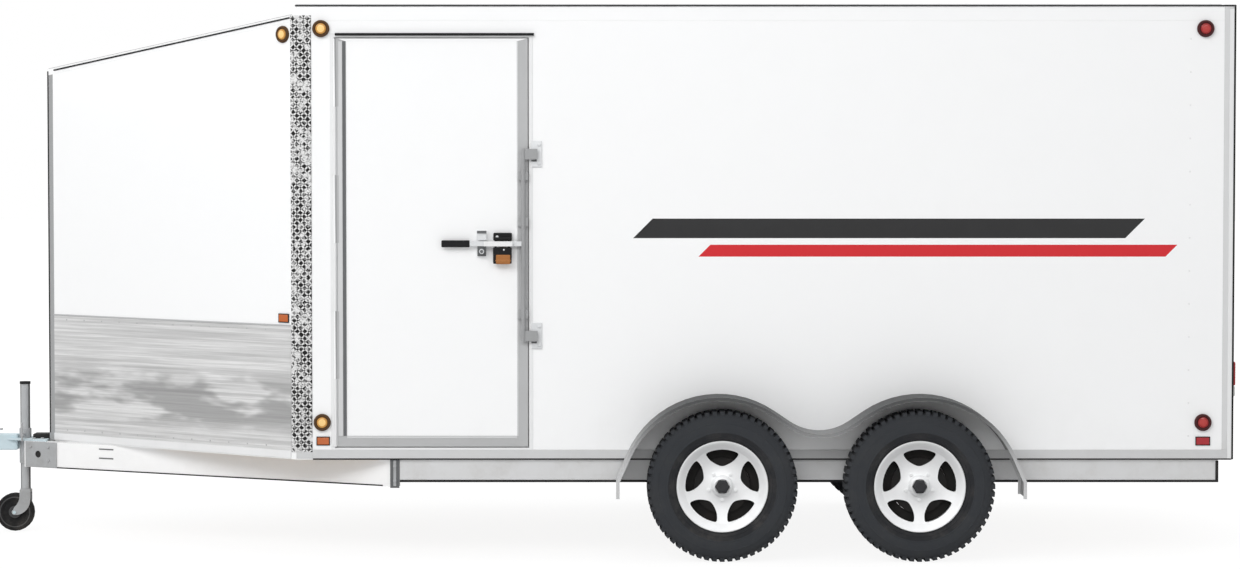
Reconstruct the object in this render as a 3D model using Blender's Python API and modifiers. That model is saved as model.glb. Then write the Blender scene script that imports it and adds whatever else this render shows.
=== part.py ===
"""Enclosed cargo trailer with a V-shaped nose and tandem torsion axles, built as separate solids.

Metres, +Z up. The nose points along -X, the left side is at -Y, the ground is at Z = 0 and the
origin is the centre of the overall box on the ground. Stations are measured along +X from the
front corner of the box body, so the nose and the tow gear have negative stations.
"""

import math

import bmesh
import bpy
from mathutils import Matrix, Vector

# Fits
FIT = 0.0003
PIN_PLAY = 0.0005
MOVING_CLEARANCE = 0.005
OVERRUN = 0.02
ROOT_DEPTH = 0.001
WELD = 0.000001

# Box body
BODY_WIDTH = 2.134
BODY_LENGTH = 4.31
BODY_BOTTOM = 0.45
BODY_TOP = 2.54
WALL = 0.038
FLOOR_THICKNESS = 0.04
ROOF_STEP = 0.044
ROOF_SKIN = 0.025
ROOF_EDGE_RADIUS = 0.018
ROOF_BOW_WIDTH = 0.025
ROOF_BOWS = 6

# Nose
NOSE_LENGTH = 1.30
NOSE_TIP_WIDTH = 0.12
NOSE_POST_DEPTH = 0.03
NOSE_ROOF_THICKNESS = 0.03
NOSE_ROOF_DROP = 0.234
GUARD_HEIGHT = 0.573
GUARD_THICKNESS = 0.002
STRIP_THICKNESS = 0.003
STRIP_SIDE_LEG = 0.074
STRIP_NOSE_REACH = 0.022
STRIP_TOP_DROP = 0.05
TRIM_HEIGHT = 0.035

# Chassis
RAIL_WIDTH = 0.05
RAIL_DEPTH = 0.105
RAIL_INSET = 0.012
RAIL_END_SETBACK = 0.065
CROSS_WIDTH = 0.05
CROSS_DEPTH = 0.075
CROSS_COUNT = 7
DRAWBAR_WIDTH = 0.05
DRAWBAR_DEPTH = 0.127
DRAWBAR_END = 0.451
DRAWBAR_REACH = 0.12
DRAWBAR_FRONT_HALF = 0.085

# Coupler
COUPLER_REACH = 0.45
HOUSING_RADIUS = 0.042
HOUSING_DROP = 0.058
HOUSING_RISE = 0.025
BALL_RADIUS = 0.0255
BALL_DROP = 0.02
PLATE_THICKNESS = 0.008
NECK_HALF_WIDTH = 0.034
NECK_DROP = 0.05
NECK_RISE = 0.028
LATCH_WIDTH = 0.022
LATCH_LENGTH = 0.12
LATCH_THICKNESS = 0.009
LATCH_RISE = 0.022

# Jack
JACK_REACH = 0.129
STEM_RADIUS = 0.024
STEM_RISE = 0.285
STEM_CAP_RADIUS = 0.0265
STEM_CAP_HEIGHT = 0.012
COLLAR_WALL = 0.005
COLLAR_DROP = 0.115
COLLAR_RISE = 0.055
WEB_THICKNESS = 0.008
WEB_SETBACK = 0.01
WEB_HOLE_RADIUS = 0.018
CLAMP_SCREW_RADIUS = 0.006
CLAMP_SCREW_RISE = 0.03
CLAMP_SCREW_REACH = 0.075
CLAMP_BAR_LENGTH = 0.09
JACK_WHEEL_RADIUS = 0.0935
JACK_WHEEL_WIDTH = 0.044
JACK_TRAIL = 0.051
FORK_CROWN_RADIUS = 0.026
FORK_CROWN_HEIGHT = 0.018
FORK_ARM_THICKNESS = 0.005
FORK_EYE_RADIUS = 0.0145
FORK_FRONT_RADIUS = 0.072
FORK_AXLE_RADIUS = 0.007
SWIVEL_PIN_RADIUS = 0.01
SWIVEL_PIN_LENGTH = 0.03

# Wheels
WHEEL_RADIUS = 0.344
TYRE_WIDTH = 0.205
TREAD_WIDTH = 0.15
RIM_SEAT_RADIUS = 0.1905
RIM_FLANGE_RADIUS = 0.2085
RIM_WIDTH = 0.165
RIM_FLANGE = 0.006
RIM_WALL = 0.006
DISC_BACK = 0.03
DISC_THICKNESS = 0.017
DISC_DISH = 0.016
DISC_HUB_RADIUS = 0.088
WINDOW_OUTER_RADIUS = 0.168
WINDOW_INNER_RADIUS = 0.093
WINDOW_OUTLINE = ((1.0, 25.0), (0.76, 25.5), (0.3, 19.5))
SPOKES = 5
HUB_BORE_RADIUS = 0.042
HUB_NOSE_RADIUS = 0.0415
HUB_NOSE_REACH = 0.03
HUB_CAP_RADIUS = 0.028
HUB_CAP_REACH = 0.022
DRUM_RADIUS = 0.127
DRUM_DEPTH = 0.065
AXLES_SHARE = 0.55812
AXLE_SPACING = 0.899
WHEEL_INSET = 0.113

# Axles
AXLE_TUBE = 0.075
AXLE_TUBE_LEAD = 0.144
AXLE_TUBE_DROP = 0.048
SPINDLE_RADIUS = 0.02
SPINDLE_LENGTH = 0.055
ARM_THICKNESS = 0.032
ARM_WIDTH = 0.06
BACKING_THICKNESS = 0.004
BRACKET_LENGTH = 0.14

# Fenders
FENDER_WIDTH = 0.228
FENDER_SHEET = 0.003
FENDER_LIP = 0.016
ARCH_CLEARANCE = 0.116
ARCH_TOP_CLEARANCE = 0.066
ARCH_SPREAD_EXTRA = 0.027
ARCH_FLANK_DEG = 34.0
ARCH_END_DEG = 66.0
VALLEY_DROP = 0.168
FENDER_TAIL_FLARE = 0.05
FENDER_TIP_DROP = 0.053
ARC_STEP_DEG = 6.0

# Side door
DOOR_FRONT = 0.179
DOOR_WIDTH = 0.893
DOOR_SILL_RISE = 0.055
DOOR_HEAD_DROP = 0.15
DOOR_FRAME_WIDTH = 0.018
DOOR_FRAME_PROUD = 0.002
DOOR_STOP_WIDTH = 0.014
DOOR_STOP_DEPTH = 0.008
DOOR_LEAF_PROUD = 0.003
DOOR_SEAL_GAP = 0.002
DOOR_EDGE_WIDTH = 0.05
DOOR_SKIN_RECESS = 0.002
DOOR_HINGE_RADIUS = 0.006
DOOR_HINGE_LEAF = 0.018
DOOR_HINGE_PLATE = 0.003
DOOR_KNUCKLE_PAIRS = 3
LOCK_BAR_RADIUS = 0.0095
LOCK_BAR_SETBACK = 0.026
LOCK_BAR_STANDOFF = 0.02
KEEPER_HEAD_DROP = 0.534
KEEPER_SILL_RISE = 0.516
KEEPER_LENGTH = 0.12
KEEPER_WIDTH = 0.05
KEEPER_THICKNESS = 0.006
CAM_HEIGHT = 0.05
CAM_REACH = 0.066
CAM_THICKNESS = 0.008
GUIDE_HEIGHT = 0.04
GUIDE_WIDTH = 0.045
HANDLE_RISE = 0.0065
HANDLE_LENGTH = 0.375
HANDLE_DEPTH = 0.022
HANDLE_THICKNESS = 0.01
GRIP_LENGTH = 0.13
GRIP_DEPTH = 0.032
GRIP_THICKNESS = 0.016
CATCH_SETBACK = 0.19
CATCH_WIDTH = 0.055
CATCH_HEIGHT = 0.12
CATCH_THICKNESS = 0.004
PADLOCK_SETBACK = 0.095
PADLOCK_WIDTH = 0.085
PADLOCK_THICKNESS = 0.024
PADLOCK_DROP = 0.075
SHACKLE_RADIUS = 0.006

# Rear portal and ramp door
REAR_DEPTH = 0.05
REAR_JAMB = 0.107
REAR_HEADER = 0.14
REAR_SILL = 0.045
RAMP_THICKNESS = 0.04
RAMP_INSET = 0.004
RAMP_HINGE_RADIUS = 0.0125
RAMP_HINGE_LENGTH = 0.22
RAMP_HINGE_STRAP = 0.16
RAMP_STRAP_THICKNESS = 0.006
RAMP_HINGE_SPREAD_SHARE = 0.72
RAMP_LOCK_SETBACK = 0.10
RAMP_LOCK_RISE = 0.30
RAMP_HANDLE_HEIGHT = 1.2
RAMP_HANDLE_LENGTH = 0.36
TAIL_LAMP_RISE = 0.37
TAIL_LAMP_LENGTH = 0.165
TAIL_LAMP_WIDTH = 0.062
TAIL_LAMP_DEPTH = 0.016
ID_BAR_LENGTH = 0.42
ID_BAR_WIDTH = 0.036
ID_BAR_DEPTH = 0.008
ID_LAMP_PITCH = 0.15
ID_LAMP_RADIUS = 0.014
ID_LAMP_DEPTH = 0.008

# Marker lamps
LAMP_RADIUS = 0.039
LAMP_DEPTH = 0.018
LAMP_BEZEL_DEPTH = 0.006
LAMP_LENS_SHARE = 0.8
FRONT_LAMP_STATION = 0.12
REAR_LAMP_SETBACK = 0.138
HIGH_LAMP_DROP = 0.11
LOW_LAMP_RISE = 0.172
NOSE_LAMP_SETBACK = 0.058
NOSE_LAMP_DROP = 0.135

# Facets
ROUND_STEPS = 24
TYRE_STEPS = 36
SMALL_STEPS = 12
SMOOTH_ANGLE = math.radians(35)

LEFT, RIGHT = -1, 1
SIDES = {"left": LEFT, "right": RIGHT}

# Places worked out from the sizes above
HALF_WIDTH = BODY_WIDTH / 2
ROOF_RIM = ROOF_STEP + NOSE_ROOF_THICKNESS
WALL_TOP = BODY_TOP - ROOF_RIM
FLOOR_TOP = BODY_BOTTOM + FLOOR_THICKNESS
INNER_HALF = HALF_WIDTH - WALL
REAR_FRONT = BODY_LENGTH - REAR_DEPTH
NOSE_SLOPE = (HALF_WIDTH - NOSE_TIP_WIDTH / 2) / NOSE_LENGTH
NOSE_STRETCH = math.hypot(1, NOSE_SLOPE)
NOSE_ROOF_SLOPE = NOSE_ROOF_DROP / NOSE_LENGTH
RAIL_OUTER = HALF_WIDTH - RAIL_INSET
RAIL_BOTTOM = BODY_BOTTOM - RAIL_DEPTH
DRAWBAR_FRONT = -NOSE_LENGTH - DRAWBAR_REACH
JACK_STATION = -NOSE_LENGTH - JACK_REACH
WEB_END = -NOSE_LENGTH + WEB_SETBACK
NECK_BOTTOM = BODY_BOTTOM - NECK_DROP
NECK_TOP = BODY_BOTTOM + NECK_RISE
HOUSING_BOTTOM = BODY_BOTTOM - HOUSING_DROP
HOUSING_SHOULDER = BODY_BOTTOM + HOUSING_RISE
BALL_HEIGHT = BODY_BOTTOM - BALL_DROP
COLLAR_BOTTOM = BODY_BOTTOM - COLLAR_DROP
COLLAR_TOP = BODY_BOTTOM + COLLAR_RISE
CLAMP_SCREW_HEIGHT = BODY_BOTTOM + CLAMP_SCREW_RISE
STEM_TOP = BODY_BOTTOM + STEM_RISE
DRAWBAR_SLOPE = (RAIL_OUTER - DRAWBAR_FRONT_HALF) / (DRAWBAR_END - DRAWBAR_FRONT)
DRAWBAR_STRETCH = math.hypot(1, DRAWBAR_SLOPE)
DRAWBAR_BOTTOM = BODY_BOTTOM - DRAWBAR_DEPTH
RAIL_FRONT = DRAWBAR_END + DRAWBAR_WIDTH * DRAWBAR_SLOPE / DRAWBAR_STRETCH + FIT
RAIL_REAR = BODY_LENGTH - RAIL_END_SETBACK
FRONT_AXLE_STATION = BODY_LENGTH * AXLES_SHARE - AXLE_SPACING / 2
REAR_AXLE_STATION = FRONT_AXLE_STATION + AXLE_SPACING
AXLE_TUBE_CENTRE = RAIL_BOTTOM - AXLE_TUBE_DROP
ARCH_RADIUS = WHEEL_RADIUS + ARCH_CLEARANCE
ARCH_TOP = 2 * WHEEL_RADIUS + ARCH_TOP_CLEARANCE
ARCH_SPREAD = AXLE_SPACING + ARCH_SPREAD_EXTRA
VALLEY_HEIGHT = ARCH_TOP - VALLEY_DROP
FENDER_TIP_HEIGHT = WHEEL_RADIUS - FENDER_TIP_DROP
WHEEL_PLANE = HALF_WIDTH + FENDER_WIDTH - WHEEL_INSET
RAMP_FACE = BODY_LENGTH - RAMP_INSET
RAMP_HALF = HALF_WIDTH - REAR_JAMB - MOVING_CLEARANCE
RAMP_BOTTOM = BODY_BOTTOM + REAR_SILL + MOVING_CLEARANCE
RAMP_TOP = BODY_TOP - REAR_HEADER - MOVING_CLEARANCE
RAMP_HINGE_STATION = BODY_LENGTH + RAMP_HINGE_RADIUS + PIN_PLAY
RAMP_HINGE_HEIGHT = BODY_BOTTOM + REAR_SILL - RAMP_HINGE_RADIUS / 2
FRONT_REACH = NOSE_LENGTH + COUPLER_REACH
REAR_REACH = RAMP_HINGE_STATION + RAMP_HINGE_RADIUS
CORNER_X = (FRONT_REACH - REAR_REACH) / 2
DOOR_REAR = DOOR_FRONT + DOOR_WIDTH
DOOR_SILL = BODY_BOTTOM + DOOR_SILL_RISE
DOOR_TOP = BODY_TOP - DOOR_HEAD_DROP
DOOR_HEIGHT = DOOR_TOP - DOOR_SILL
DOOR_KEEPER_HIGH = DOOR_TOP - KEEPER_HEAD_DROP
DOOR_KEEPER_LOW = DOOR_SILL + KEEPER_SILL_RISE
HANDLE_HEIGHT = (DOOR_KEEPER_LOW + DOOR_KEEPER_HIGH) / 2 + HANDLE_RISE
DOOR_FACE = HALF_WIDTH + DOOR_LEAF_PROUD
DOOR_HINGE_STATION = DOOR_FRONT + MOVING_CLEARANCE / 2
DOOR_HINGE_LINE = DOOR_FACE + DOOR_HINGE_RADIUS
LOCK_LINE = DOOR_FACE + LOCK_BAR_STANDOFF
LOCK_STATION = DOOR_REAR - LOCK_BAR_SETBACK
RAMP_LOCK_FOOT = BODY_BOTTOM + RAMP_LOCK_RISE
TAIL_LAMP_HEIGHT = BODY_BOTTOM + TAIL_LAMP_RISE
HIGH_LAMP_HEIGHT = BODY_TOP - HIGH_LAMP_DROP
LOW_LAMP_HEIGHT = BODY_BOTTOM + LOW_LAMP_RISE
NOSE_LAMP_STATION = -NOSE_LAMP_SETBACK
NOSE_LAMP_HEIGHT = BODY_TOP - NOSE_LAMP_DROP
STEM_FOOT = 2 * JACK_WHEEL_RADIUS + MOVING_CLEARANCE + FORK_CROWN_HEIGHT + PIN_PLAY


def at(station):
    """World X of a station."""
    return CORNER_X + station


def nose_line(station, outward=0.0):
    """Half width of the nose at a station, moved outward square to the nose face."""
    return HALF_WIDTH + NOSE_SLOPE * station + outward * NOSE_STRETCH


def drawbar_line(station, inward=0.0):
    """Half width of a drawbar's outer face at a station, moved inward square to the rail."""
    return HALF_WIDTH - RAIL_INSET + DRAWBAR_SLOPE * (station - DRAWBAR_END) - inward * DRAWBAR_STRETCH


# Scene

def clear_scene():
    for obj in list(bpy.data.objects):
        bpy.data.objects.remove(obj)
    for group in list(bpy.data.collections):
        bpy.data.collections.remove(group)


def make_material(name, colour, roughness, metallic):
    material = bpy.data.materials.new(name)
    material.use_nodes = True
    shader = material.node_tree.nodes["Principled BSDF"]
    shader.inputs["Base Color"].default_value = (*colour, 1)
    shader.inputs["Roughness"].default_value = roughness
    shader.inputs["Metallic"].default_value = metallic
    material.diffuse_color = (*colour, 1)
    return material


clear_scene()
TRAILER = bpy.data.collections.new("cargo_trailer")
bpy.context.scene.collection.children.link(TRAILER)

WHITE_PAINT = make_material("white_paint", (0.86, 0.87, 0.88), 0.3, 0.0)
GREY_PAINT = make_material("grey_paint", (0.55, 0.56, 0.58), 0.4, 0.0)
FENDER_PAINT = make_material("fender_paint", (0.16, 0.165, 0.17), 0.35, 0.6)
ALUMINIUM = make_material("aluminium", (0.7, 0.71, 0.72), 0.35, 1.0)
TREAD_PLATE = make_material("tread_plate", (0.6, 0.61, 0.62), 0.4, 1.0)
CAST_ALLOY = make_material("cast_alloy", (0.75, 0.76, 0.77), 0.3, 1.0)
GALVANISED = make_material("galvanised", (0.55, 0.58, 0.6), 0.45, 0.9)
CHROME = make_material("chrome", (0.8, 0.8, 0.8), 0.12, 1.0)
BRASS = make_material("brass", (0.65, 0.42, 0.18), 0.35, 1.0)
BLACK_PAINT = make_material("black_paint", (0.03, 0.03, 0.03), 0.5, 0.0)
TYRE_RUBBER = make_material("tyre_rubber", (0.05, 0.052, 0.055), 0.8, 0.0)
PLYWOOD = make_material("plywood", (0.55, 0.38, 0.2), 0.6, 0.0)
AMBER_LENS = make_material("amber_lens", (0.9, 0.35, 0.02), 0.2, 0.0)
RED_LENS = make_material("red_lens", (0.6, 0.02, 0.02), 0.2, 0.0)


# Shapes

def face_outward(shape):
    bmesh.ops.recalc_face_normals(shape, faces=shape.faces)
    if shape.calc_volume(signed=True) < 0:
        bmesh.ops.reverse_faces(shape, faces=shape.faces)


def new_part(name, shape, matrix=None):
    """An object in the trailer's collection, made from a bmesh."""
    bmesh.ops.remove_doubles(shape, verts=shape.verts, dist=WELD)
    if matrix is not None:
        shape.transform(matrix)
    face_outward(shape)
    mesh = bpy.data.meshes.new(name)
    shape.to_mesh(mesh)
    shape.free()
    obj = bpy.data.objects.new(name, mesh)
    TRAILER.objects.link(obj)
    return obj


def remove_part(obj):
    mesh = obj.data
    bpy.data.objects.remove(obj)
    if not mesh.users:
        bpy.data.meshes.remove(mesh)


def apply_modifiers(obj):
    """Replaces an object's mesh by the one that its modifiers make."""
    bpy.context.view_layer.update()
    graph = bpy.context.evaluated_depsgraph_get()
    made = bpy.data.meshes.new_from_object(obj.evaluated_get(graph))
    obj.modifiers.clear()
    old = obj.data
    obj.data = made
    bpy.data.meshes.remove(old)
    return obj


def combine(target, others, operation):
    for other in others:
        modifier = target.modifiers.new(operation, "BOOLEAN")
        modifier.operation = operation
        modifier.solver = "EXACT"
        modifier.object = other
    apply_modifiers(target)
    for other in others:
        remove_part(other)
    return target


def fuse(target, *others):
    return combine(target, others, "UNION")


def cut(target, *others):
    return combine(target, others, "DIFFERENCE")


def box(name, low, high, bevel=0.0):
    """A block between two corners, given in any order, with its edges rounded if asked."""
    low, high = Vector(map(min, low, high)), Vector(map(max, low, high))
    shape = bmesh.new()
    bmesh.ops.create_cube(shape, size=1)
    size = Matrix.Diagonal((*(high - low), 1))
    shape.transform(Matrix.Translation((low + high) / 2) @ size)
    obj = new_part(name, shape)
    if bevel:
        round_edges(obj, bevel)
    return obj


def round_edges(obj, width, segments=2):
    modifier = obj.modifiers.new("Bevel", "BEVEL")
    modifier.width = width
    modifier.segments = segments
    modifier.limit_method = "ANGLE"
    return apply_modifiers(obj)


def rod(name, start, end, radius, steps=SMALL_STEPS, end_radius=None):
    """A cylinder, or a cone if it has an end radius, between two points."""
    start, end = Vector(start), Vector(end)
    shape = bmesh.new()
    bmesh.ops.create_cone(
        shape,
        cap_ends=True,
        segments=steps,
        radius1=radius,
        radius2=radius if end_radius is None else end_radius,
        depth=(end - start).length,
    )
    turn = (end - start).to_track_quat("Z", "Y").to_matrix().to_4x4()
    return new_part(name, shape, Matrix.Translation((start + end) / 2) @ turn)


def ball(name, centre, radius, steps=SMALL_STEPS):
    shape = bmesh.new()
    bmesh.ops.create_uvsphere(shape, u_segments=steps, v_segments=steps // 2, radius=radius)
    return new_part(name, shape, Matrix.Translation(centre))


PLANES = {
    "plan": Matrix(((1, 0, 0, 0), (0, 1, 0, 0), (0, 0, 1, 0), (0, 0, 0, 1))),
    "side": Matrix(((1, 0, 0, 0), (0, 0, 1, 0), (0, 1, 0, 0), (0, 0, 0, 1))),
    "end": Matrix(((0, 0, 1, 0), (1, 0, 0, 0), (0, 1, 0, 0), (0, 0, 0, 1))),
}


def flat(name, outlines, low, high, plane="plan"):
    """A plate cut to an outline, with any holes after it. Plan outlines are (x, y), side outlines
    (x, z) and end outlines (y, z), and the plate reaches from low to high on the axis left."""
    curve = bpy.data.curves.new(name, "CURVE")
    curve.dimensions = "2D"
    curve.fill_mode = "BOTH"
    curve.extrude = abs(high - low) / 2
    for points in outlines:
        spline = curve.splines.new("POLY")
        spline.points.add(len(points) - 1)
        spline.use_cyclic_u = True
        for place, (u, v) in zip(spline.points, points):
            place.co = (u, v, 0, 1)
    guide = bpy.data.objects.new(name, curve)
    TRAILER.objects.link(guide)
    bpy.context.view_layer.update()
    graph = bpy.context.evaluated_depsgraph_get()
    made = bpy.data.meshes.new_from_object(guide.evaluated_get(graph))
    shape = bmesh.new()
    shape.from_mesh(made)
    bpy.data.objects.remove(guide)
    bpy.data.curves.remove(curve)
    bpy.data.meshes.remove(made)
    matrix = PLANES[plane] @ Matrix.Translation((0, 0, (low + high) / 2))
    return new_part(name, shape, matrix)


def turned(name, profile, steps, closed=False):
    """A profile of (radius, height) points turned about Z. A closed profile makes a ring."""
    shape = bmesh.new()
    verts = [shape.verts.new((radius, 0, height)) for radius, height in profile]
    for first, second in zip(verts, verts[1:]):
        shape.edges.new((first, second))
    if closed:
        shape.edges.new((verts[-1], verts[0]))
    mesh = bpy.data.meshes.new(name)
    shape.to_mesh(mesh)
    shape.free()
    obj = bpy.data.objects.new(name, mesh)
    TRAILER.objects.link(obj)
    modifier = obj.modifiers.new("Screw", "SCREW")
    modifier.steps = steps
    modifier.render_steps = steps
    modifier.use_merge_vertices = True
    modifier.merge_threshold = WELD
    apply_modifiers(obj)
    whole = bmesh.new()
    whole.from_mesh(obj.data)
    remove_part(obj)
    return new_part(name, whole)


def lofted(name, rings):
    """A solid skinned over rings that have the same number of points, closed at both ends."""
    shape = bmesh.new()
    loops = [[shape.verts.new(point) for point in ring] for ring in rings]
    for first, second in zip(loops, loops[1:]):
        for i in range(len(first)):
            shape.faces.new((first[i - 1], first[i], second[i], second[i - 1]))
    shape.faces.new(loops[0])
    shape.faces.new(loops[-1])
    return new_part(name, shape)


def moved(obj, matrix):
    obj.data.transform(matrix)
    if matrix.determinant() < 0:
        obj.data.flip_normals()
    return obj


def mirrored(obj, name):
    """A copy of a left piece for the right side."""
    twin = bpy.data.objects.new(name, obj.data.copy())
    TRAILER.objects.link(twin)
    return moved(twin, Matrix.Diagonal((1, -1, 1, 1)))


def sliced(obj, point, normal):
    """The object without what lies beyond a plane, closed again."""
    shape = bmesh.new()
    shape.from_mesh(obj.data)
    everything = shape.verts[:] + shape.edges[:] + shape.faces[:]
    bmesh.ops.bisect_plane(shape, geom=everything, plane_co=point, plane_no=normal, clear_outer=True)
    rim = [edge for edge in shape.edges if edge.is_boundary]
    bmesh.ops.holes_fill(shape, edges=rim)
    face_outward(shape)
    shape.to_mesh(obj.data)
    shape.free()
    return obj


def finished(obj, name, material, pivot=None):
    """Names a piece, gives it its material, and hangs it on its joint's empty."""
    obj.name = name
    obj.data.name = name
    obj.data.materials.clear()
    obj.data.materials.append(material)
    obj.data.shade_smooth()
    obj.data.set_sharp_from_angle(angle=SMOOTH_ANGLE)
    if pivot is not None:
        obj.parent = pivot
        obj.matrix_parent_inverse = pivot.matrix_world.inverted()
    return obj


def make_pivot(name, place, parent=None):
    """The empty on a joint's axis that carries the pieces which move there."""
    pivot = bpy.data.objects.new(name, None)
    TRAILER.objects.link(pivot)
    pivot.location = place
    bpy.context.view_layer.update()
    if parent is not None:
        pivot.parent = parent
        pivot.matrix_parent_inverse = parent.matrix_world.inverted()
        bpy.context.view_layer.update()
    return pivot


def rectangle(left, bottom, right, top):
    return [(left, bottom), (right, bottom), (right, top), (left, top)]


def arc(centre, radius, start_deg, end_deg, steps):
    """Points on an arc, both ends included."""
    turn = math.radians(end_deg - start_deg) / steps
    angles = [math.radians(start_deg) + turn * i for i in range(steps + 1)]
    return [(centre[0] + radius * math.cos(a), centre[1] + radius * math.sin(a)) for a in angles]


# Chassis

def build_chassis_frame():
    """Two box rails under the walls, joined by cross-members under the floor."""
    rails = [
        box(
            "rail",
            (at(RAIL_FRONT), side * (RAIL_OUTER - RAIL_WIDTH), RAIL_BOTTOM),
            (at(RAIL_REAR), side * RAIL_OUTER, BODY_BOTTOM),
        )
        for side in SIDES.values()
    ]
    first, last = RAIL_FRONT, RAIL_REAR - CROSS_WIDTH
    pitch = (last - first) / (CROSS_COUNT - 1)
    reach = RAIL_OUTER - RAIL_WIDTH / 2
    members = [
        box(
            "cross_member",
            (at(first + i * pitch + ROOT_DEPTH), -reach, BODY_BOTTOM - CROSS_DEPTH),
            (at(first + i * pitch + CROSS_WIDTH - ROOT_DEPTH), reach, BODY_BOTTOM - ROOT_DEPTH),
        )
        for i in range(CROSS_COUNT)
    ]
    frame = fuse(rails[0], rails[1], *members)
    finished(frame, "chassis_frame", WHITE_PAINT)


def build_drawbar():
    """The rails that run from the front ends of the chassis rails to the coupler."""
    tilt = DRAWBAR_WIDTH * DRAWBAR_SLOPE / DRAWBAR_STRETCH
    inner_end = DRAWBAR_END + tilt
    outline = [
        (at(DRAWBAR_FRONT), -drawbar_line(DRAWBAR_FRONT)),
        (at(DRAWBAR_END), -drawbar_line(DRAWBAR_END)),
        (at(inner_end), -drawbar_line(inner_end, DRAWBAR_WIDTH)),
        (at(DRAWBAR_FRONT), -drawbar_line(DRAWBAR_FRONT, DRAWBAR_WIDTH)),
    ]
    left = flat("drawbar", [outline], DRAWBAR_BOTTOM, BODY_BOTTOM)
    finished(mirrored(left, "drawbar"), "drawbar_right", WHITE_PAINT)
    finished(left, "drawbar_left", WHITE_PAINT)


# Coupler and jack

def build_coupler():
    """A ball housing on a neck, welded to a plate that lies across the drawbar rails."""
    tip = -FRONT_REACH
    ball_station = tip + HOUSING_RADIUS
    plate_front = DRAWBAR_FRONT - MOVING_CLEARANCE * 2
    plate_rear = -NOSE_LENGTH - MOVING_CLEARANCE
    half = [
        (at(plate_front - DRAWBAR_FRONT_HALF), NECK_HALF_WIDTH - ROOT_DEPTH),
        (at(plate_front), drawbar_line(plate_front)),
        (at(plate_rear), drawbar_line(plate_rear)),
    ]
    outline = half + [(x, -y) for x, y in reversed(half)]
    plate_bottom = BODY_BOTTOM + FIT
    plate = flat("plate", [outline], plate_bottom, plate_bottom + PLATE_THICKNESS)
    neck_end = JACK_STATION - STEM_RADIUS - COLLAR_WALL - MOVING_CLEARANCE
    neck = box(
        "neck",
        (at(ball_station), -NECK_HALF_WIDTH, NECK_BOTTOM),
        (at(neck_end), NECK_HALF_WIDTH, NECK_TOP),
        bevel=NECK_HALF_WIDTH / 6,
    )
    crown = arc((0, HOUSING_SHOULDER), HOUSING_RADIUS, 0, 90, 4)
    dome = [(r, HOUSING_SHOULDER + (z - HOUSING_SHOULDER) / 2) for r, z in crown[:-1]]
    top = (0, HOUSING_SHOULDER + HOUSING_RADIUS / 2)
    housing = turned("housing", [(0, HOUSING_BOTTOM), (HOUSING_RADIUS, HOUSING_BOTTOM), *dome, top],
                     ROUND_STEPS)
    moved(housing, Matrix.Translation((at(ball_station), 0, 0)))
    body = fuse(housing, neck, plate)
    collar_hole = rod(
        "collar_hole",
        (at(JACK_STATION), 0, BODY_BOTTOM - OVERRUN),
        (at(JACK_STATION), 0, COLLAR_TOP),
        STEM_RADIUS + PIN_PLAY + COLLAR_WALL + FIT,
        ROUND_STEPS,
    )
    hollow = arc((0, BALL_HEIGHT), BALL_RADIUS, 0, 90, 5)[:-1]
    socket = turned(
        "socket",
        [(0, HOUSING_BOTTOM - OVERRUN), (BALL_RADIUS, HOUSING_BOTTOM - OVERRUN), *hollow,
         (0, BALL_HEIGHT + BALL_RADIUS)],
        ROUND_STEPS,
    )
    moved(socket, Matrix.Translation((at(ball_station), 0, 0)))
    cut(body, collar_hole, socket)
    finished(body, "coupler", GALVANISED)

    latch_low = NECK_TOP + FIT
    latch_front = tip + 2 * HOUSING_RADIUS + MOVING_CLEARANCE
    latch = flat(
        "latch",
        [[
            (at(latch_front), latch_low),
            (at(latch_front + LATCH_WIDTH), latch_low),
            (at(latch_front + LATCH_WIDTH + LATCH_THICKNESS), latch_low + LATCH_RISE - LATCH_THICKNESS),
            (at(latch_front + LATCH_LENGTH), latch_low + LATCH_RISE - LATCH_THICKNESS / 2),
            (at(latch_front + LATCH_LENGTH), latch_low + LATCH_RISE + LATCH_THICKNESS / 2),
            (at(latch_front + LATCH_WIDTH / 2), latch_low + LATCH_RISE),
            (at(latch_front), latch_low + LATCH_RISE / 2),
        ]],
        -LATCH_WIDTH / 2,
        LATCH_WIDTH / 2,
        "side",
    )
    finished(latch, "coupler_latch", GALVANISED)


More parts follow.
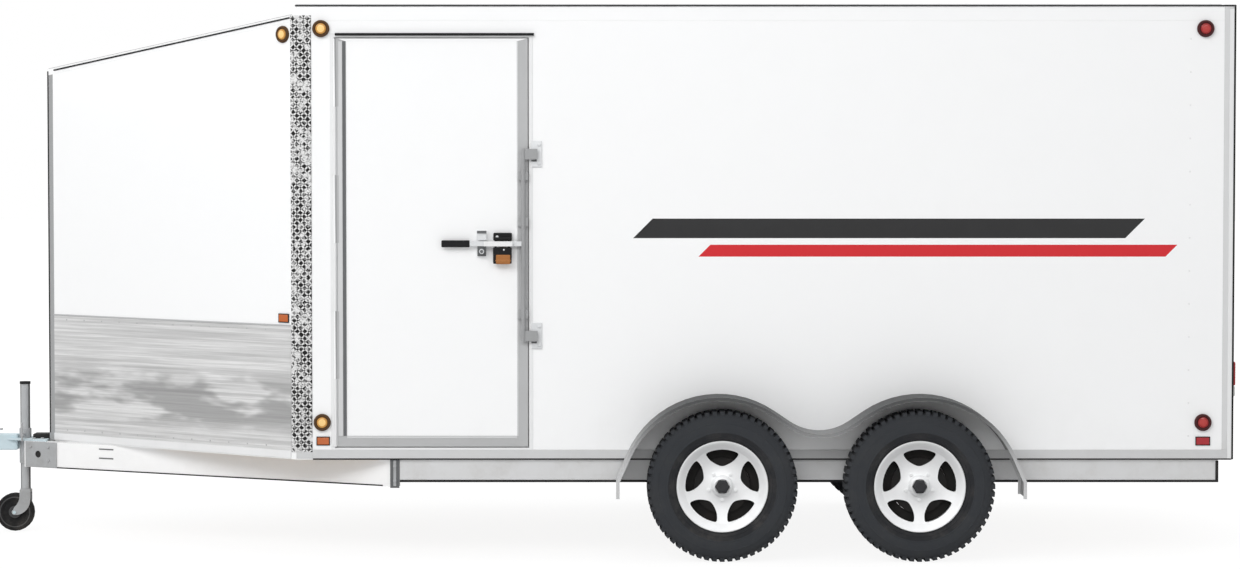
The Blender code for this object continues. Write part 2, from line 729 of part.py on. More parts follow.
def build_jack():
    """A castor jack: its stem slides in a clamp collar that is held between the drawbar rails."""
    x = at(JACK_STATION)
    outer = STEM_RADIUS + PIN_PLAY + COLLAR_WALL
    collar = rod("collar", (x, 0, COLLAR_BOTTOM), (x, 0, COLLAR_TOP), outer, ROUND_STEPS)
    web_outline = rectangle(x, COLLAR_BOTTOM, at(WEB_END + WEB_THICKNESS / 2), BODY_BOTTOM - FIT)
    web_middle = (WEB_END + JACK_STATION + outer) / 2
    web_hole = arc((at(web_middle), (COLLAR_BOTTOM + BODY_BOTTOM) / 2), WEB_HOLE_RADIUS, 0, 345, 23)
    web = flat("web", [web_outline, web_hole], -WEB_THICKNESS / 2, WEB_THICKNESS / 2, "side")
    rear_half = [
        (at(WEB_END), drawbar_line(WEB_END, DRAWBAR_WIDTH + FIT)),
        (at(WEB_END + WEB_THICKNESS), drawbar_line(WEB_END + WEB_THICKNESS, DRAWBAR_WIDTH + FIT)),
    ]
    rear_outline = rear_half + [(u, -v) for u, v in reversed(rear_half)]
    cross_plate = flat("cross_plate", [rear_outline], COLLAR_BOTTOM + ROOT_DEPTH, BODY_BOTTOM - 2 * FIT)
    screw = rod(
        "screw",
        (x, -outer + COLLAR_WALL / 2, CLAMP_SCREW_HEIGHT),
        (x, -outer - CLAMP_SCREW_REACH, CLAMP_SCREW_HEIGHT),
        CLAMP_SCREW_RADIUS,
    )
    bar_line = -outer - CLAMP_SCREW_REACH + CLAMP_SCREW_RADIUS
    bar = rod(
        "bar",
        (x, bar_line, CLAMP_SCREW_HEIGHT - CLAMP_BAR_LENGTH / 3),
        (x, bar_line, CLAMP_SCREW_HEIGHT + CLAMP_BAR_LENGTH * 2 / 3),
        CLAMP_SCREW_RADIUS - ROOT_DEPTH,
    )
    clamp = fuse(collar, web, cross_plate, screw, bar)
    bore = rod(
        "bore",
        (x, 0, COLLAR_BOTTOM - OVERRUN),
        (x, 0, COLLAR_TOP + OVERRUN),
        STEM_RADIUS + PIN_PLAY,
        ROUND_STEPS,
    )
    finished(cut(clamp, bore), "jack_clamp", GREY_PAINT)

    slide = make_pivot("jack_slide_axis", (x, 0, STEM_FOOT))
    stem = turned(
        "stem",
        [
            (0, STEM_TOP),
            (STEM_CAP_RADIUS, STEM_TOP),
            (STEM_CAP_RADIUS, STEM_TOP - STEM_CAP_HEIGHT),
            (STEM_RADIUS, STEM_TOP - STEM_CAP_HEIGHT),
            (STEM_RADIUS, STEM_FOOT),
            (SWIVEL_PIN_RADIUS + PIN_PLAY, STEM_FOOT),
            (SWIVEL_PIN_RADIUS + PIN_PLAY, STEM_FOOT + SWIVEL_PIN_LENGTH + PIN_PLAY),
            (0, STEM_FOOT + SWIVEL_PIN_LENGTH + PIN_PLAY),
        ],
        ROUND_STEPS,
    )
    moved(stem, Matrix.Translation((x, 0, 0)))
    finished(stem, "jack_stem", GREY_PAINT, slide)

    crown_top = STEM_FOOT - PIN_PLAY
    crown_bottom = crown_top - FORK_CROWN_HEIGHT
    axle = (x - JACK_TRAIL, JACK_WHEEL_RADIUS)
    arm_face = JACK_WHEEL_WIDTH / 2 + MOVING_CLEARANCE
    swivel = make_pivot("jack_swivel_axis", (x, 0, crown_top), slide)
    crown = rod("crown", (x, 0, crown_bottom), (x, 0, crown_top), FORK_CROWN_RADIUS, ROUND_STEPS)
    pin = rod("pin", (x, 0, crown_bottom + ROOT_DEPTH), (x, 0, crown_top + SWIVEL_PIN_LENGTH),
              SWIVEL_PIN_RADIUS, ROUND_STEPS)
    bridge = box(
        "bridge",
        (x - FORK_CROWN_RADIUS, -arm_face - FORK_ARM_THICKNESS, crown_bottom),
        (x + FORK_CROWN_RADIUS, arm_face + FORK_ARM_THICKNESS, crown_top - FORK_CROWN_HEIGHT / 3),
    )
    back_radius = JACK_TRAIL + FORK_CROWN_RADIUS
    back = [(x + FORK_CROWN_RADIUS, crown_top - FORK_CROWN_HEIGHT / 2)]
    back += arc((axle[0], axle[1] + back_radius - FORK_EYE_RADIUS), back_radius, 0, -80, 8)
    eye = arc(axle, FORK_EYE_RADIUS, -90, -240, 6)
    front = arc((x - FORK_CROWN_RADIUS - FORK_FRONT_RADIUS, crown_bottom - FORK_CROWN_HEIGHT),
                FORK_FRONT_RADIUS, -50, 0, 4)
    front.append((x - FORK_CROWN_RADIUS, crown_top - FORK_CROWN_HEIGHT / 2))
    arms = [
        flat("arm", [back + eye + front], side * arm_face, side * (arm_face + FORK_ARM_THICKNESS), "side")
        for side in SIDES.values()
    ]
    axle_end = arm_face + FORK_ARM_THICKNESS
    axle_pin = rod(
        "axle_pin",
        (axle[0], -axle_end - FORK_AXLE_RADIUS / 2, axle[1]),
        (axle[0], axle_end + FORK_AXLE_RADIUS / 2, axle[1]),
        FORK_AXLE_RADIUS,
    )
    fork = fuse(crown, pin, bridge, *arms, axle_pin)
    finished(fork, "jack_fork", GREY_PAINT, swivel)

    spin = make_pivot("jack_wheel_axis", (axle[0], 0, axle[1]), swivel)
    half = JACK_WHEEL_WIDTH / 2
    shoulder = JACK_WHEEL_WIDTH / 5
    bore_radius = FORK_AXLE_RADIUS + PIN_PLAY
    hub_radius = JACK_WHEEL_RADIUS * 0.3
    dish_radius = JACK_WHEEL_RADIUS * 0.62
    dish = JACK_WHEEL_WIDTH * 0.16
    side_profile = [
        (bore_radius, half),
        (hub_radius, half),
        (hub_radius + shoulder / 2, half - dish),
        (dish_radius, half - dish),
        (dish_radius + shoulder / 2, half - dish / 4),
        (JACK_WHEEL_RADIUS - shoulder, half - dish / 4),
        (JACK_WHEEL_RADIUS, half - shoulder),
    ]
    profile = side_profile + [(radius, -height) for radius, height in reversed(side_profile)]
    wheel = turned("wheel", profile, ROUND_STEPS, closed=True)
    moved(wheel, Matrix.Translation((axle[0], 0, axle[1])) @ Matrix.Rotation(math.pi / 2, 4, "X"))
    finished(wheel, "jack_wheel", TYRE_RUBBER, spin)


# Body panels

def build_floor():
    nose_end = -NOSE_LENGTH + NOSE_POST_DEPTH + FIT
    half = [
        (at(REAR_FRONT - FIT), INNER_HALF - FIT),
        (at(0), INNER_HALF - FIT),
        (at(0), nose_line(0, -WALL - FIT)),
        (at(nose_end), nose_line(nose_end, -WALL - FIT)),
    ]
    outline = half + [(x, -y) for x, y in reversed(half)]
    deck = flat("deck", [outline], BODY_BOTTOM + FIT, FLOOR_TOP)
    finished(deck, "floor_deck", PLYWOOD)


def build_side_walls():
    right = box(
        "wall",
        (at(0), INNER_HALF, BODY_BOTTOM + FIT),
        (at(REAR_FRONT - FIT), HALF_WIDTH, WALL_TOP),
    )
    left = mirrored(right, "wall")
    edge = DOOR_FRAME_WIDTH + FIT
    doorway = box(
        "doorway",
        (at(DOOR_FRONT - edge), -INNER_HALF + OVERRUN, DOOR_SILL - edge),
        (at(DOOR_REAR + edge), -HALF_WIDTH - OVERRUN, DOOR_TOP + edge),
    )
    finished(cut(left, doorway), "side_wall_left", WHITE_PAINT)
    finished(right, "side_wall_right", WHITE_PAINT)


def nose_roof_height(station):
    """Height of the nose roof's upper face."""
    return BODY_TOP - ROOF_STEP + NOSE_ROOF_SLOPE * station


def build_nose():
    post_rear = -NOSE_LENGTH + NOSE_POST_DEPTH
    wall_outline = [
        (at(-FIT), -nose_line(-FIT)),
        (at(-FIT), -nose_line(-FIT, -WALL)),
        (at(post_rear + FIT), -nose_line(post_rear + FIT, -WALL)),
        (at(post_rear + FIT), -nose_line(post_rear + FIT)),
    ]
    underside = Vector((at(0), 0, nose_roof_height(0) - NOSE_ROOF_THICKNESS - FIT))
    slope_normal = Vector((-NOSE_ROOF_SLOPE, 0, 1)).normalized()
    left = flat("nose_wall", [wall_outline], BODY_BOTTOM + FIT, BODY_TOP)
    sliced(left, underside, slope_normal)
    finished(mirrored(left, "nose_wall"), "nose_wall_right", WHITE_PAINT)
    finished(left, "nose_wall_left", WHITE_PAINT)

    post_half = [
        (at(post_rear), nose_line(post_rear)),
        (at(-NOSE_LENGTH), NOSE_TIP_WIDTH / 2),
    ]
    post = flat("post", [post_half + [(x, -y) for x, y in reversed(post_half)]],
                BODY_BOTTOM + FIT, BODY_TOP)
    finished(sliced(post, underside, slope_normal), "nose_post", ALUMINIUM)

    roof_half = [(at(-FIT), nose_line(-FIT)), (at(-NOSE_LENGTH), NOSE_TIP_WIDTH / 2)]
    roof = flat("nose_roof", [roof_half + [(x, -y) for x, y in reversed(roof_half)]],
                -NOSE_ROOF_THICKNESS, 0)
    shear = Matrix.Identity(4)
    shear[2][0] = NOSE_ROOF_SLOPE
    moved(roof, Matrix.Translation((0, 0, nose_roof_height(0))) @ shear
          @ Matrix.Translation((-at(0), 0, 0)))
    moved(roof, Matrix.Translation((at(0), 0, 0)))
    finished(roof, "nose_roof", WHITE_PAINT)


def build_stone_guards():
    """Bright sheets on the lower nose faces, between the nose post and the corner strips."""
    front = -NOSE_LENGTH + NOSE_POST_DEPTH
    rear = -STRIP_NOSE_REACH - FIT - GUARD_THICKNESS
    low, high = FIT, FIT + GUARD_THICKNESS
    outline = [
        (at(front), -nose_line(front, low)),
        (at(rear), -nose_line(rear, low)),
        (at(rear), -nose_line(rear, high)),
        (at(front), -nose_line(front, high)),
    ]
    bottom = FLOOR_TOP
    left = flat("guard", [outline], bottom, bottom + GUARD_HEIGHT)
    finished(mirrored(left, "guard"), "stone_guard_right", ALUMINIUM)
    finished(left, "stone_guard_left", ALUMINIUM)


def build_corner_strips():
    """Tread plate folded round the front corners of the box."""
    low, high = FIT, FIT + STRIP_THICKNESS
    low_corner = low * (1 - NOSE_STRETCH) / NOSE_SLOPE
    high_corner = high * (1 - NOSE_STRETCH) / NOSE_SLOPE
    outline = [
        (at(STRIP_SIDE_LEG), -HALF_WIDTH - low),
        (at(STRIP_SIDE_LEG), -HALF_WIDTH - high),
        (at(high_corner), -HALF_WIDTH - high),
        (at(-STRIP_NOSE_REACH), -nose_line(-STRIP_NOSE_REACH, high)),
        (at(-STRIP_NOSE_REACH), -nose_line(-STRIP_NOSE_REACH, low)),
        (at(low_corner), -HALF_WIDTH - low),
    ]
    left = flat("strip", [outline], BODY_BOTTOM + TRIM_HEIGHT, BODY_TOP - STRIP_TOP_DROP)
    finished(mirrored(left, "strip"), "corner_strip_right", TREAD_PLATE)
    finished(left, "corner_strip_left", TREAD_PLATE)


def build_roof():
    """A roof panel with a deep rim that stands on the walls, and bows across its underside."""
    low = (at(0), -HALF_WIDTH, WALL_TOP + FIT)
    high = (at(REAR_FRONT - FIT), HALF_WIDTH, BODY_TOP)
    panel = box("roof", low, high)
    upper = [edge for edge in panel.data.edges
             if all(panel.data.vertices[v].co.z > BODY_TOP - FIT for v in edge.vertices)]
    bevel_weights = panel.data.attributes.new("bevel_weight_edge", "FLOAT", "EDGE")
    for edge in upper:
        ends = [panel.data.vertices[v].co for v in edge.vertices]
        if abs(ends[0].y - ends[1].y) < FIT:
            bevel_weights.data[edge.index].value = 1
    modifier = panel.modifiers.new("Bevel", "BEVEL")
    modifier.width = ROOF_EDGE_RADIUS
    modifier.segments = 3
    modifier.limit_method = "WEIGHT"
    apply_modifiers(panel)
    inner_low = (at(WALL), -INNER_HALF, WALL_TOP - OVERRUN)
    inner_high = (at(REAR_FRONT - WALL), INNER_HALF, BODY_TOP - ROOF_SKIN)
    cut(panel, box("pocket", inner_low, inner_high))
    pitch = (REAR_FRONT - 2 * WALL) / (ROOF_BOWS + 1)
    bows = [
        box(
            "bow",
            (at(WALL + pitch * (i + 1) - ROOF_BOW_WIDTH / 2), -INNER_HALF - ROOT_DEPTH,
             WALL_TOP + NOSE_ROOF_THICKNESS / 3),
            (at(WALL + pitch * (i + 1) + ROOF_BOW_WIDTH / 2), INNER_HALF + ROOT_DEPTH,
             BODY_TOP - ROOF_SKIN + ROOT_DEPTH),
        )
        for i in range(ROOF_BOWS)
    ]
    finished(fuse(panel, *bows), "roof", WHITE_PAINT)


# Side door

def build_side_door():
    outer = rectangle(at(DOOR_FRONT - DOOR_FRAME_WIDTH), DOOR_SILL - DOOR_FRAME_WIDTH,
                      at(DOOR_REAR + DOOR_FRAME_WIDTH), DOOR_TOP + DOOR_FRAME_WIDTH)
    clear = rectangle(at(DOOR_FRONT), DOOR_SILL, at(DOOR_REAR), DOOR_TOP)
    stop = rectangle(at(DOOR_FRONT + DOOR_STOP_WIDTH), DOOR_SILL + DOOR_STOP_WIDTH,
                     at(DOOR_REAR - DOOR_STOP_WIDTH), DOOR_TOP - DOOR_STOP_WIDTH)
    frame = flat("frame", [outer, clear], -INNER_HALF, -HALF_WIDTH - DOOR_FRAME_PROUD, "side")
    lip = flat("lip", [outer, stop], -INNER_HALF, -INNER_HALF - DOOR_STOP_DEPTH, "side")

    axis = (at(DOOR_HINGE_STATION), -DOOR_HINGE_LINE)
    knuckle = (DOOR_HEIGHT - 2 * MOVING_CLEARANCE) / (2 * DOOR_KNUCKLE_PAIRS)
    fixed, moving = [frame, lip], []
    for i in range(2 * DOOR_KNUCKLE_PAIRS):
        low = DOOR_SILL + MOVING_CLEARANCE + i * knuckle + PIN_PLAY
        high = low + knuckle - 2 * PIN_PLAY
        side = LEFT if i % 2 == 0 else RIGHT
        pieces = fixed if side == LEFT else moving
        face = DOOR_FACE if side == RIGHT else HALF_WIDTH + DOOR_FRAME_PROUD
        pieces.append(rod("knuckle", (*axis, low), (*axis, high), DOOR_HINGE_RADIUS))
        pieces.append(box(
            "hinge_leaf",
            (axis[0] - side * ROOT_DEPTH, -face + ROOT_DEPTH, low + ROOT_DEPTH),
            (axis[0] + side * DOOR_HINGE_LEAF, -DOOR_FACE - DOOR_HINGE_PLATE, high - ROOT_DEPTH),
        ))
    keeper_front = at(DOOR_REAR + MOVING_CLEARANCE * 2)
    for height in (DOOR_KEEPER_HIGH, DOOR_KEEPER_LOW):
        fixed.append(box(
            "keeper",
            (keeper_front, -HALF_WIDTH - FIT, height - KEEPER_LENGTH / 2),
            (keeper_front + KEEPER_WIDTH, -HALF_WIDTH - KEEPER_THICKNESS, height + KEEPER_LENGTH / 2),
            bevel=KEEPER_THICKNESS / 4,
        ))
    finished(fuse(*fixed), "side_door_frame", WHITE_PAINT)

    pivot = make_pivot("side_door_axis", (*axis, DOOR_SILL + DOOR_HEIGHT / 2))
    leaf_low = (at(DOOR_FRONT + MOVING_CLEARANCE),
                -INNER_HALF - DOOR_STOP_DEPTH - DOOR_SEAL_GAP, DOOR_SILL + MOVING_CLEARANCE)
    leaf_high = (at(DOOR_REAR - MOVING_CLEARANCE), -DOOR_FACE, DOOR_TOP - MOVING_CLEARANCE)
    leaf = box("leaf", leaf_low, leaf_high)
    recess = box(
        "recess",
        (leaf_low[0] + DOOR_EDGE_WIDTH, -DOOR_FACE + DOOR_SKIN_RECESS, leaf_low[2] + DOOR_EDGE_WIDTH),
        (leaf_high[0] - DOOR_EDGE_WIDTH, -DOOR_FACE - OVERRUN, leaf_high[2] - DOOR_EDGE_WIDTH / 4),
    )
    cut(leaf, recess)
    catch_x = at(LOCK_STATION - CATCH_SETBACK)
    catch = box(
        "catch",
        (catch_x - CATCH_WIDTH / 2, -DOOR_FACE + DOOR_SKIN_RECESS + ROOT_DEPTH,
         HANDLE_HEIGHT - CATCH_HEIGHT / 2),
        (catch_x + CATCH_WIDTH / 2, -DOOR_FACE - CATCH_THICKNESS, HANDLE_HEIGHT + CATCH_HEIGHT / 2),
    )
    finished(fuse(leaf, catch, *moving), "side_door", WHITE_PAINT, pivot)
    build_door_lock(pivot)


def build_door_lock(pivot):
    """A cam-bar lock: a turning bar with a cam at each end and a handle that folds along the door."""
    x, y = at(LOCK_STATION), -LOCK_LINE
    bar_low = DOOR_KEEPER_LOW - CAM_HEIGHT / 2
    bar_high = DOOR_KEEPER_HIGH + CAM_HEIGHT / 2
    bar = rod("bar", (x, y, bar_low), (x, y, bar_high), LOCK_BAR_RADIUS)
    pieces = []
    for height in (DOOR_KEEPER_LOW, DOOR_KEEPER_HIGH):
        pieces.append(box(
            "cam",
            (x, y - CAM_THICKNESS / 2, height - CAM_HEIGHT / 2 + ROOT_DEPTH),
            (x + CAM_REACH, y + CAM_THICKNESS / 2, height + CAM_HEIGHT / 2 - ROOT_DEPTH),
        ))
    for height in (DOOR_KEEPER_LOW + 2 * CAM_HEIGHT, HANDLE_HEIGHT + 2 * CAM_HEIGHT,
                   DOOR_KEEPER_HIGH - 2 * CAM_HEIGHT):
        pieces.append(box(
            "guide",
            (x - GUIDE_WIDTH / 2, -DOOR_FACE - FIT, height - GUIDE_HEIGHT / 2),
            (x + GUIDE_WIDTH / 2, y, height + GUIDE_HEIGHT / 2),
        ))
    handle_end = x - HANDLE_LENGTH
    pieces.append(box(
        "handle",
        (x, y - HANDLE_THICKNESS / 2, HANDLE_HEIGHT - HANDLE_DEPTH / 2),
        (handle_end + GRIP_LENGTH / 2, y + HANDLE_THICKNESS / 2, HANDLE_HEIGHT + HANDLE_DEPTH / 2),
    ))
    pieces.append(box(
        "grip",
        (handle_end, y - GRIP_THICKNESS / 2, HANDLE_HEIGHT - GRIP_DEPTH / 2),
        (handle_end + GRIP_LENGTH, y + GRIP_THICKNESS / 2, HANDLE_HEIGHT + GRIP_DEPTH / 2),
        bevel=GRIP_THICKNESS / 4,
    ))
    finished(fuse(bar, *pieces), "side_door_lock", CHROME, pivot)

    lock_x = at(LOCK_STATION - PADLOCK_SETBACK)
    face = y - HANDLE_THICKNESS / 2 - FIT
    body_top = HANDLE_HEIGHT - HANDLE_DEPTH / 2 - MOVING_CLEARANCE
    body = box(
        "padlock_body",
        (lock_x - PADLOCK_WIDTH / 2, face - SHACKLE_RADIUS + PADLOCK_THICKNESS / 2,
         body_top - PADLOCK_DROP),
        (lock_x + PADLOCK_WIDTH / 2, face - SHACKLE_RADIUS - PADLOCK_THICKNESS / 2, body_top),
        bevel=PADLOCK_THICKNESS / 6,
    )
    shackle_half = PADLOCK_WIDTH / 2 - 2 * SHACKLE_RADIUS
    shackle_top = HANDLE_HEIGHT + HANDLE_DEPTH / 2 + 2 * SHACKLE_RADIUS
    legs = [
        rod(
            "shackle_leg",
            (lock_x + side * shackle_half, face - SHACKLE_RADIUS, body_top - ROOT_DEPTH * 5),
            (lock_x + side * shackle_half, face - SHACKLE_RADIUS, shackle_top),
            SHACKLE_RADIUS,
        )
        for side in SIDES.values()
    ]
    bow = rod(
        "shackle_bow",
        (lock_x - shackle_half - SHACKLE_RADIUS, face - SHACKLE_RADIUS, shackle_top),
        (lock_x + shackle_half + SHACKLE_RADIUS, face - SHACKLE_RADIUS, shackle_top),
        SHACKLE_RADIUS + ROOT_DEPTH,
    )
    finished(fuse(body, *legs, bow), "padlock", BRASS, pivot)


# Rear

def build_rear():
    outer = rectangle(-HALF_WIDTH, BODY_BOTTOM + FIT, HALF_WIDTH, BODY_TOP)
    opening = rectangle(-HALF_WIDTH + REAR_JAMB, BODY_BOTTOM + REAR_SILL,
                        HALF_WIDTH - REAR_JAMB, BODY_TOP - REAR_HEADER)
    portal = flat("portal", [outer, opening], at(REAR_FRONT), at(BODY_LENGTH), "end")
    axis = (at(RAMP_HINGE_STATION), RAMP_HINGE_HEIGHT)
    strap_low = RAMP_BOTTOM + ROOT_DEPTH
    fixed, moving = [portal], []
    spread = RAMP_HALF * RAMP_HINGE_SPREAD_SHARE
    third = RAMP_HINGE_LENGTH / 3
    for middle in (-spread, 0, spread):
        for step, pieces in ((-1, fixed), (0, moving), (1, fixed)):
            low = middle + step * third - third / 2 + PIN_PLAY
            high = low + third - 2 * PIN_PLAY
            pieces.append(rod("knuckle", (axis[0], low, axis[1]), (axis[0], high, axis[1]),
                              RAMP_HINGE_RADIUS))
            if pieces is fixed:
                pieces.append(box(
                    "hinge_lug",
                    (at(BODY_LENGTH - ROOT_DEPTH), low + ROOT_DEPTH, axis[1] - RAMP_HINGE_RADIUS * 0.9),
                    (axis[0], high - ROOT_DEPTH, axis[1] - ROOT_DEPTH),
                ))
            else:
                pieces.append(box(
                    "hinge_strap",
                    (at(RAMP_FACE) - ROOT_DEPTH, low + ROOT_DEPTH, strap_low),
                    (at(RAMP_FACE) + RAMP_STRAP_THICKNESS, high - ROOT_DEPTH,
                     strap_low + RAMP_HINGE_STRAP),
                ))
                pieces.append(box(
                    "hinge_root",
                    (at(BODY_LENGTH + PIN_PLAY), low + 2 * ROOT_DEPTH, axis[1] + ROOT_DEPTH),
                    (axis[0] + ROOT_DEPTH, high - 2 * ROOT_DEPTH,
                     strap_low + RAMP_HINGE_RADIUS),
                ))
    finished(fuse(*fixed), "rear_frame", WHITE_PAINT)

    pivot = make_pivot("ramp_door_axis", (axis[0], 0, axis[1]))
    ramp = box(
        "ramp",
        (at(RAMP_FACE - RAMP_THICKNESS), -RAMP_HALF, RAMP_BOTTOM),
        (at(RAMP_FACE), RAMP_HALF, RAMP_TOP),
    )
    finished(fuse(ramp, *moving), "ramp_door", WHITE_PAINT, pivot)
    build_ramp_locks(pivot)
    build_rear_lamps()


def build_ramp_locks(pivot):
    """A cam-bar lock near each side of the ramp door, with its cam over the header."""
    x = at(RAMP_FACE + LOCK_BAR_STANDOFF)
    y = -(RAMP_HALF - RAMP_LOCK_SETBACK)
    top = RAMP_TOP + REAR_HEADER / 3
    bar = rod("bar", (x, y, RAMP_LOCK_FOOT), (x, y, top), LOCK_BAR_RADIUS)
    cam = box(
        "cam",
        (x - CAM_THICKNESS / 2, y - CAM_REACH / 2, top - CAM_HEIGHT),
        (x + CAM_THICKNESS / 2, y + CAM_REACH / 2, top - ROOT_DEPTH),
    )
    guides = [
        box(
            "guide",
            (at(RAMP_FACE) + FIT, y - GUIDE_WIDTH / 2, height - GUIDE_HEIGHT / 2),
            (x, y + GUIDE_WIDTH / 2, height + GUIDE_HEIGHT / 2),
        )
        for height in (RAMP_LOCK_FOOT + CAM_HEIGHT, RAMP_HANDLE_HEIGHT + 2 * CAM_HEIGHT,
                       RAMP_TOP - CAM_HEIGHT)
    ]
    handle_end = y + RAMP_HANDLE_LENGTH
    handle = box(
        "handle",
        (x - HANDLE_THICKNESS / 2, y, RAMP_HANDLE_HEIGHT - HANDLE_DEPTH / 2),
        (x + HANDLE_THICKNESS / 2, handle_end - GRIP_LENGTH / 2, RAMP_HANDLE_HEIGHT + HANDLE_DEPTH / 2),
    )
    grip = box(
        "grip",
        (x - GRIP_THICKNESS / 2, handle_end - GRIP_LENGTH, RAMP_HANDLE_HEIGHT - GRIP_DEPTH / 2),
        (x + GRIP_THICKNESS / 2, handle_end, RAMP_HANDLE_HEIGHT + GRIP_DEPTH / 2),
    )
    left = fuse(bar, cam, *guides, handle, grip)
    finished(mirrored(left, "lock"), "ramp_lock_right", CHROME, pivot)
    finished(left, "ramp_lock_left", CHROME, pivot)


def build_rear_lamps():
    face = at(BODY_LENGTH) + FIT
    y = -(HALF_WIDTH - REAR_JAMB / 2)
    end = TAIL_LAMP_WIDTH / 2
    straight = TAIL_LAMP_LENGTH / 2 - end
    outline = arc((y, TAIL_LAMP_HEIGHT + straight), end, 0, 180, 8)
    outline += arc((y, TAIL_LAMP_HEIGHT - straight), end, 180, 360, 8)
    left = flat("tail_lamp", [outline], face, face + TAIL_LAMP_DEPTH, "end")
    round_edges(left, TAIL_LAMP_DEPTH / 4, 1)
    finished(mirrored(left, "tail_lamp"), "tail_lamp_right", RED_LENS)
    finished(left, "tail_lamp_left", RED_LENS)

    height = BODY_TOP - REAR_HEADER / 3
    bar = box(
        "id_bar",
        (face, -ID_BAR_LENGTH / 2, height - ID_BAR_WIDTH / 2),
        (face + ID_BAR_DEPTH, ID_BAR_LENGTH / 2, height + ID_BAR_WIDTH / 2),
    )
    lamps = [
        rod(
            "id_lamp",
            (face + ID_BAR_DEPTH / 2, ID_LAMP_PITCH * step, height),
            (face + ID_BAR_DEPTH + ID_LAMP_DEPTH, ID_LAMP_PITCH * step, height),
            ID_LAMP_RADIUS,
            end_radius=ID_LAMP_RADIUS * 0.7,
        )
        for step in (-1, 0, 1)
    ]
    finished(fuse(bar, *lamps), "rear_id_lamps", RED_LENS)


# Marker lamps

def marker_lamp(name, place, outward, material):
    """A round lamp: a bezel with a domed lens, its back on the panel."""
    lens = LAMP_RADIUS * LAMP_LENS_SHARE
    lamp = turned(
        name,
        [
            (0, LAMP_DEPTH),
            (lens * 0.55, LAMP_DEPTH * 0.9),
            (lens * 0.9, LAMP_DEPTH * 0.62),
            (lens, LAMP_BEZEL_DEPTH),
            (LAMP_RADIUS, LAMP_BEZEL_DEPTH),
            (LAMP_RADIUS, 0),
            (0, 0),
        ],
        ROUND_STEPS,
    )
    turn = Vector(outward).to_track_quat("Z", "Y").to_matrix().to_4x4()
    moved(lamp, Matrix.Translation(Vector(place) + Vector(outward) * FIT) @ turn)
    return finished(lamp, name, material)


def build_marker_lamps():
    rows = {
        "front_high": (FRONT_LAMP_STATION, HIGH_LAMP_HEIGHT, AMBER_LENS),
        "front_low": (FRONT_LAMP_STATION, LOW_LAMP_HEIGHT, AMBER_LENS),
        "rear_high": (BODY_LENGTH - REAR_LAMP_SETBACK, HIGH_LAMP_HEIGHT, RED_LENS),
        "rear_low": (BODY_LENGTH - REAR_LAMP_SETBACK, LOW_LAMP_HEIGHT, RED_LENS),
    }
    for side_name, side in SIDES.items():
        for row, (station, height, material) in rows.items():
            marker_lamp(f"lamp_{row}_{side_name}", (at(station), side * HALF_WIDTH, height),
                        (0, side, 0), material)
        outward = Vector((-NOSE_SLOPE, side, 0)).normalized()
        place = (at(NOSE_LAMP_STATION), side * nose_line(NOSE_LAMP_STATION), NOSE_LAMP_HEIGHT)
        marker_lamp(f"lamp_nose_{side_name}", place, outward, AMBER_LENS)


# Fenders

def fender_line():
    """Points on the fender's outer line as (x, z, outward direction), from the front tip back."""
    middle = at(FRONT_AXLE_STATION + AXLE_SPACING / 2)
    arch_x = middle - ARCH_SPREAD / 2
    arch_z = ARCH_TOP - ARCH_RADIUS
    flank = math.radians(ARCH_FLANK_DEG)
    end = math.radians(ARCH_END_DEG)
    run = math.tan(flank) * (ARCH_SPREAD / 2 - ARCH_RADIUS * math.sin(flank))
    drop = arch_z + ARCH_RADIUS * math.cos(flank) - VALLEY_HEIGHT
    valley_radius = (run - drop) / (1 / math.cos(flank) - 1)
    points = []
    tip_x = arch_x - ARCH_RADIUS * math.sin(end) - FENDER_TAIL_FLARE
    bend_z = arch_z + ARCH_RADIUS * math.cos(end) - FENDER_TAIL_FLARE * math.tan(end)
    points.append((tip_x, FENDER_TIP_HEIGHT, math.pi))
    points.append((tip_x, bend_z, (math.pi + math.pi / 2 + end) / 2))
    steps = round(math.degrees(flank + end) / ARC_STEP_DEG)
    for i in range(steps + 1):
        angle = math.pi / 2 + end - (flank + end) * i / steps
        points.append((arch_x + ARCH_RADIUS * math.cos(angle), arch_z + ARCH_RADIUS * math.sin(angle), angle))
    steps = round(ARCH_FLANK_DEG / ARC_STEP_DEG)
    centre_z = VALLEY_HEIGHT + valley_radius
    for i in range(steps + 1):
        angle = math.pi / 2 - flank + flank * i / steps
        points.append((middle - valley_radius * math.cos(angle),
                       centre_z - valley_radius * math.sin(angle), angle))
    twin = [(2 * middle - x, z, math.pi - angle) for x, z, angle in reversed(points[:-1])]
    return points + twin


def build_fenders():
    """A thin sheet bent along the fender line, with a rolled lip outside and a flange on the wall."""
    inner, outer = HALF_WIDTH + FIT, HALF_WIDTH + FENDER_WIDTH
    section = [
        (0, inner),
        (0, outer),
        (FENDER_LIP, outer),
        (FENDER_LIP, outer - FENDER_SHEET),
        (FENDER_SHEET, outer - FENDER_SHEET),
        (FENDER_SHEET, inner + FENDER_SHEET),
        (FENDER_LIP, inner + FENDER_SHEET),
        (FENDER_LIP, inner),
    ]
    rings = [
        [(x - depth * math.cos(turn), -y, z - depth * math.sin(turn)) for depth, y in section]
        for x, z, turn in fender_line()
    ]
    left = lofted("fender", rings)
    finished(mirrored(left, "fender"), "fender_right", FENDER_PAINT)
    finished(left, "fender_left", FENDER_PAINT)


# Axles and wheels

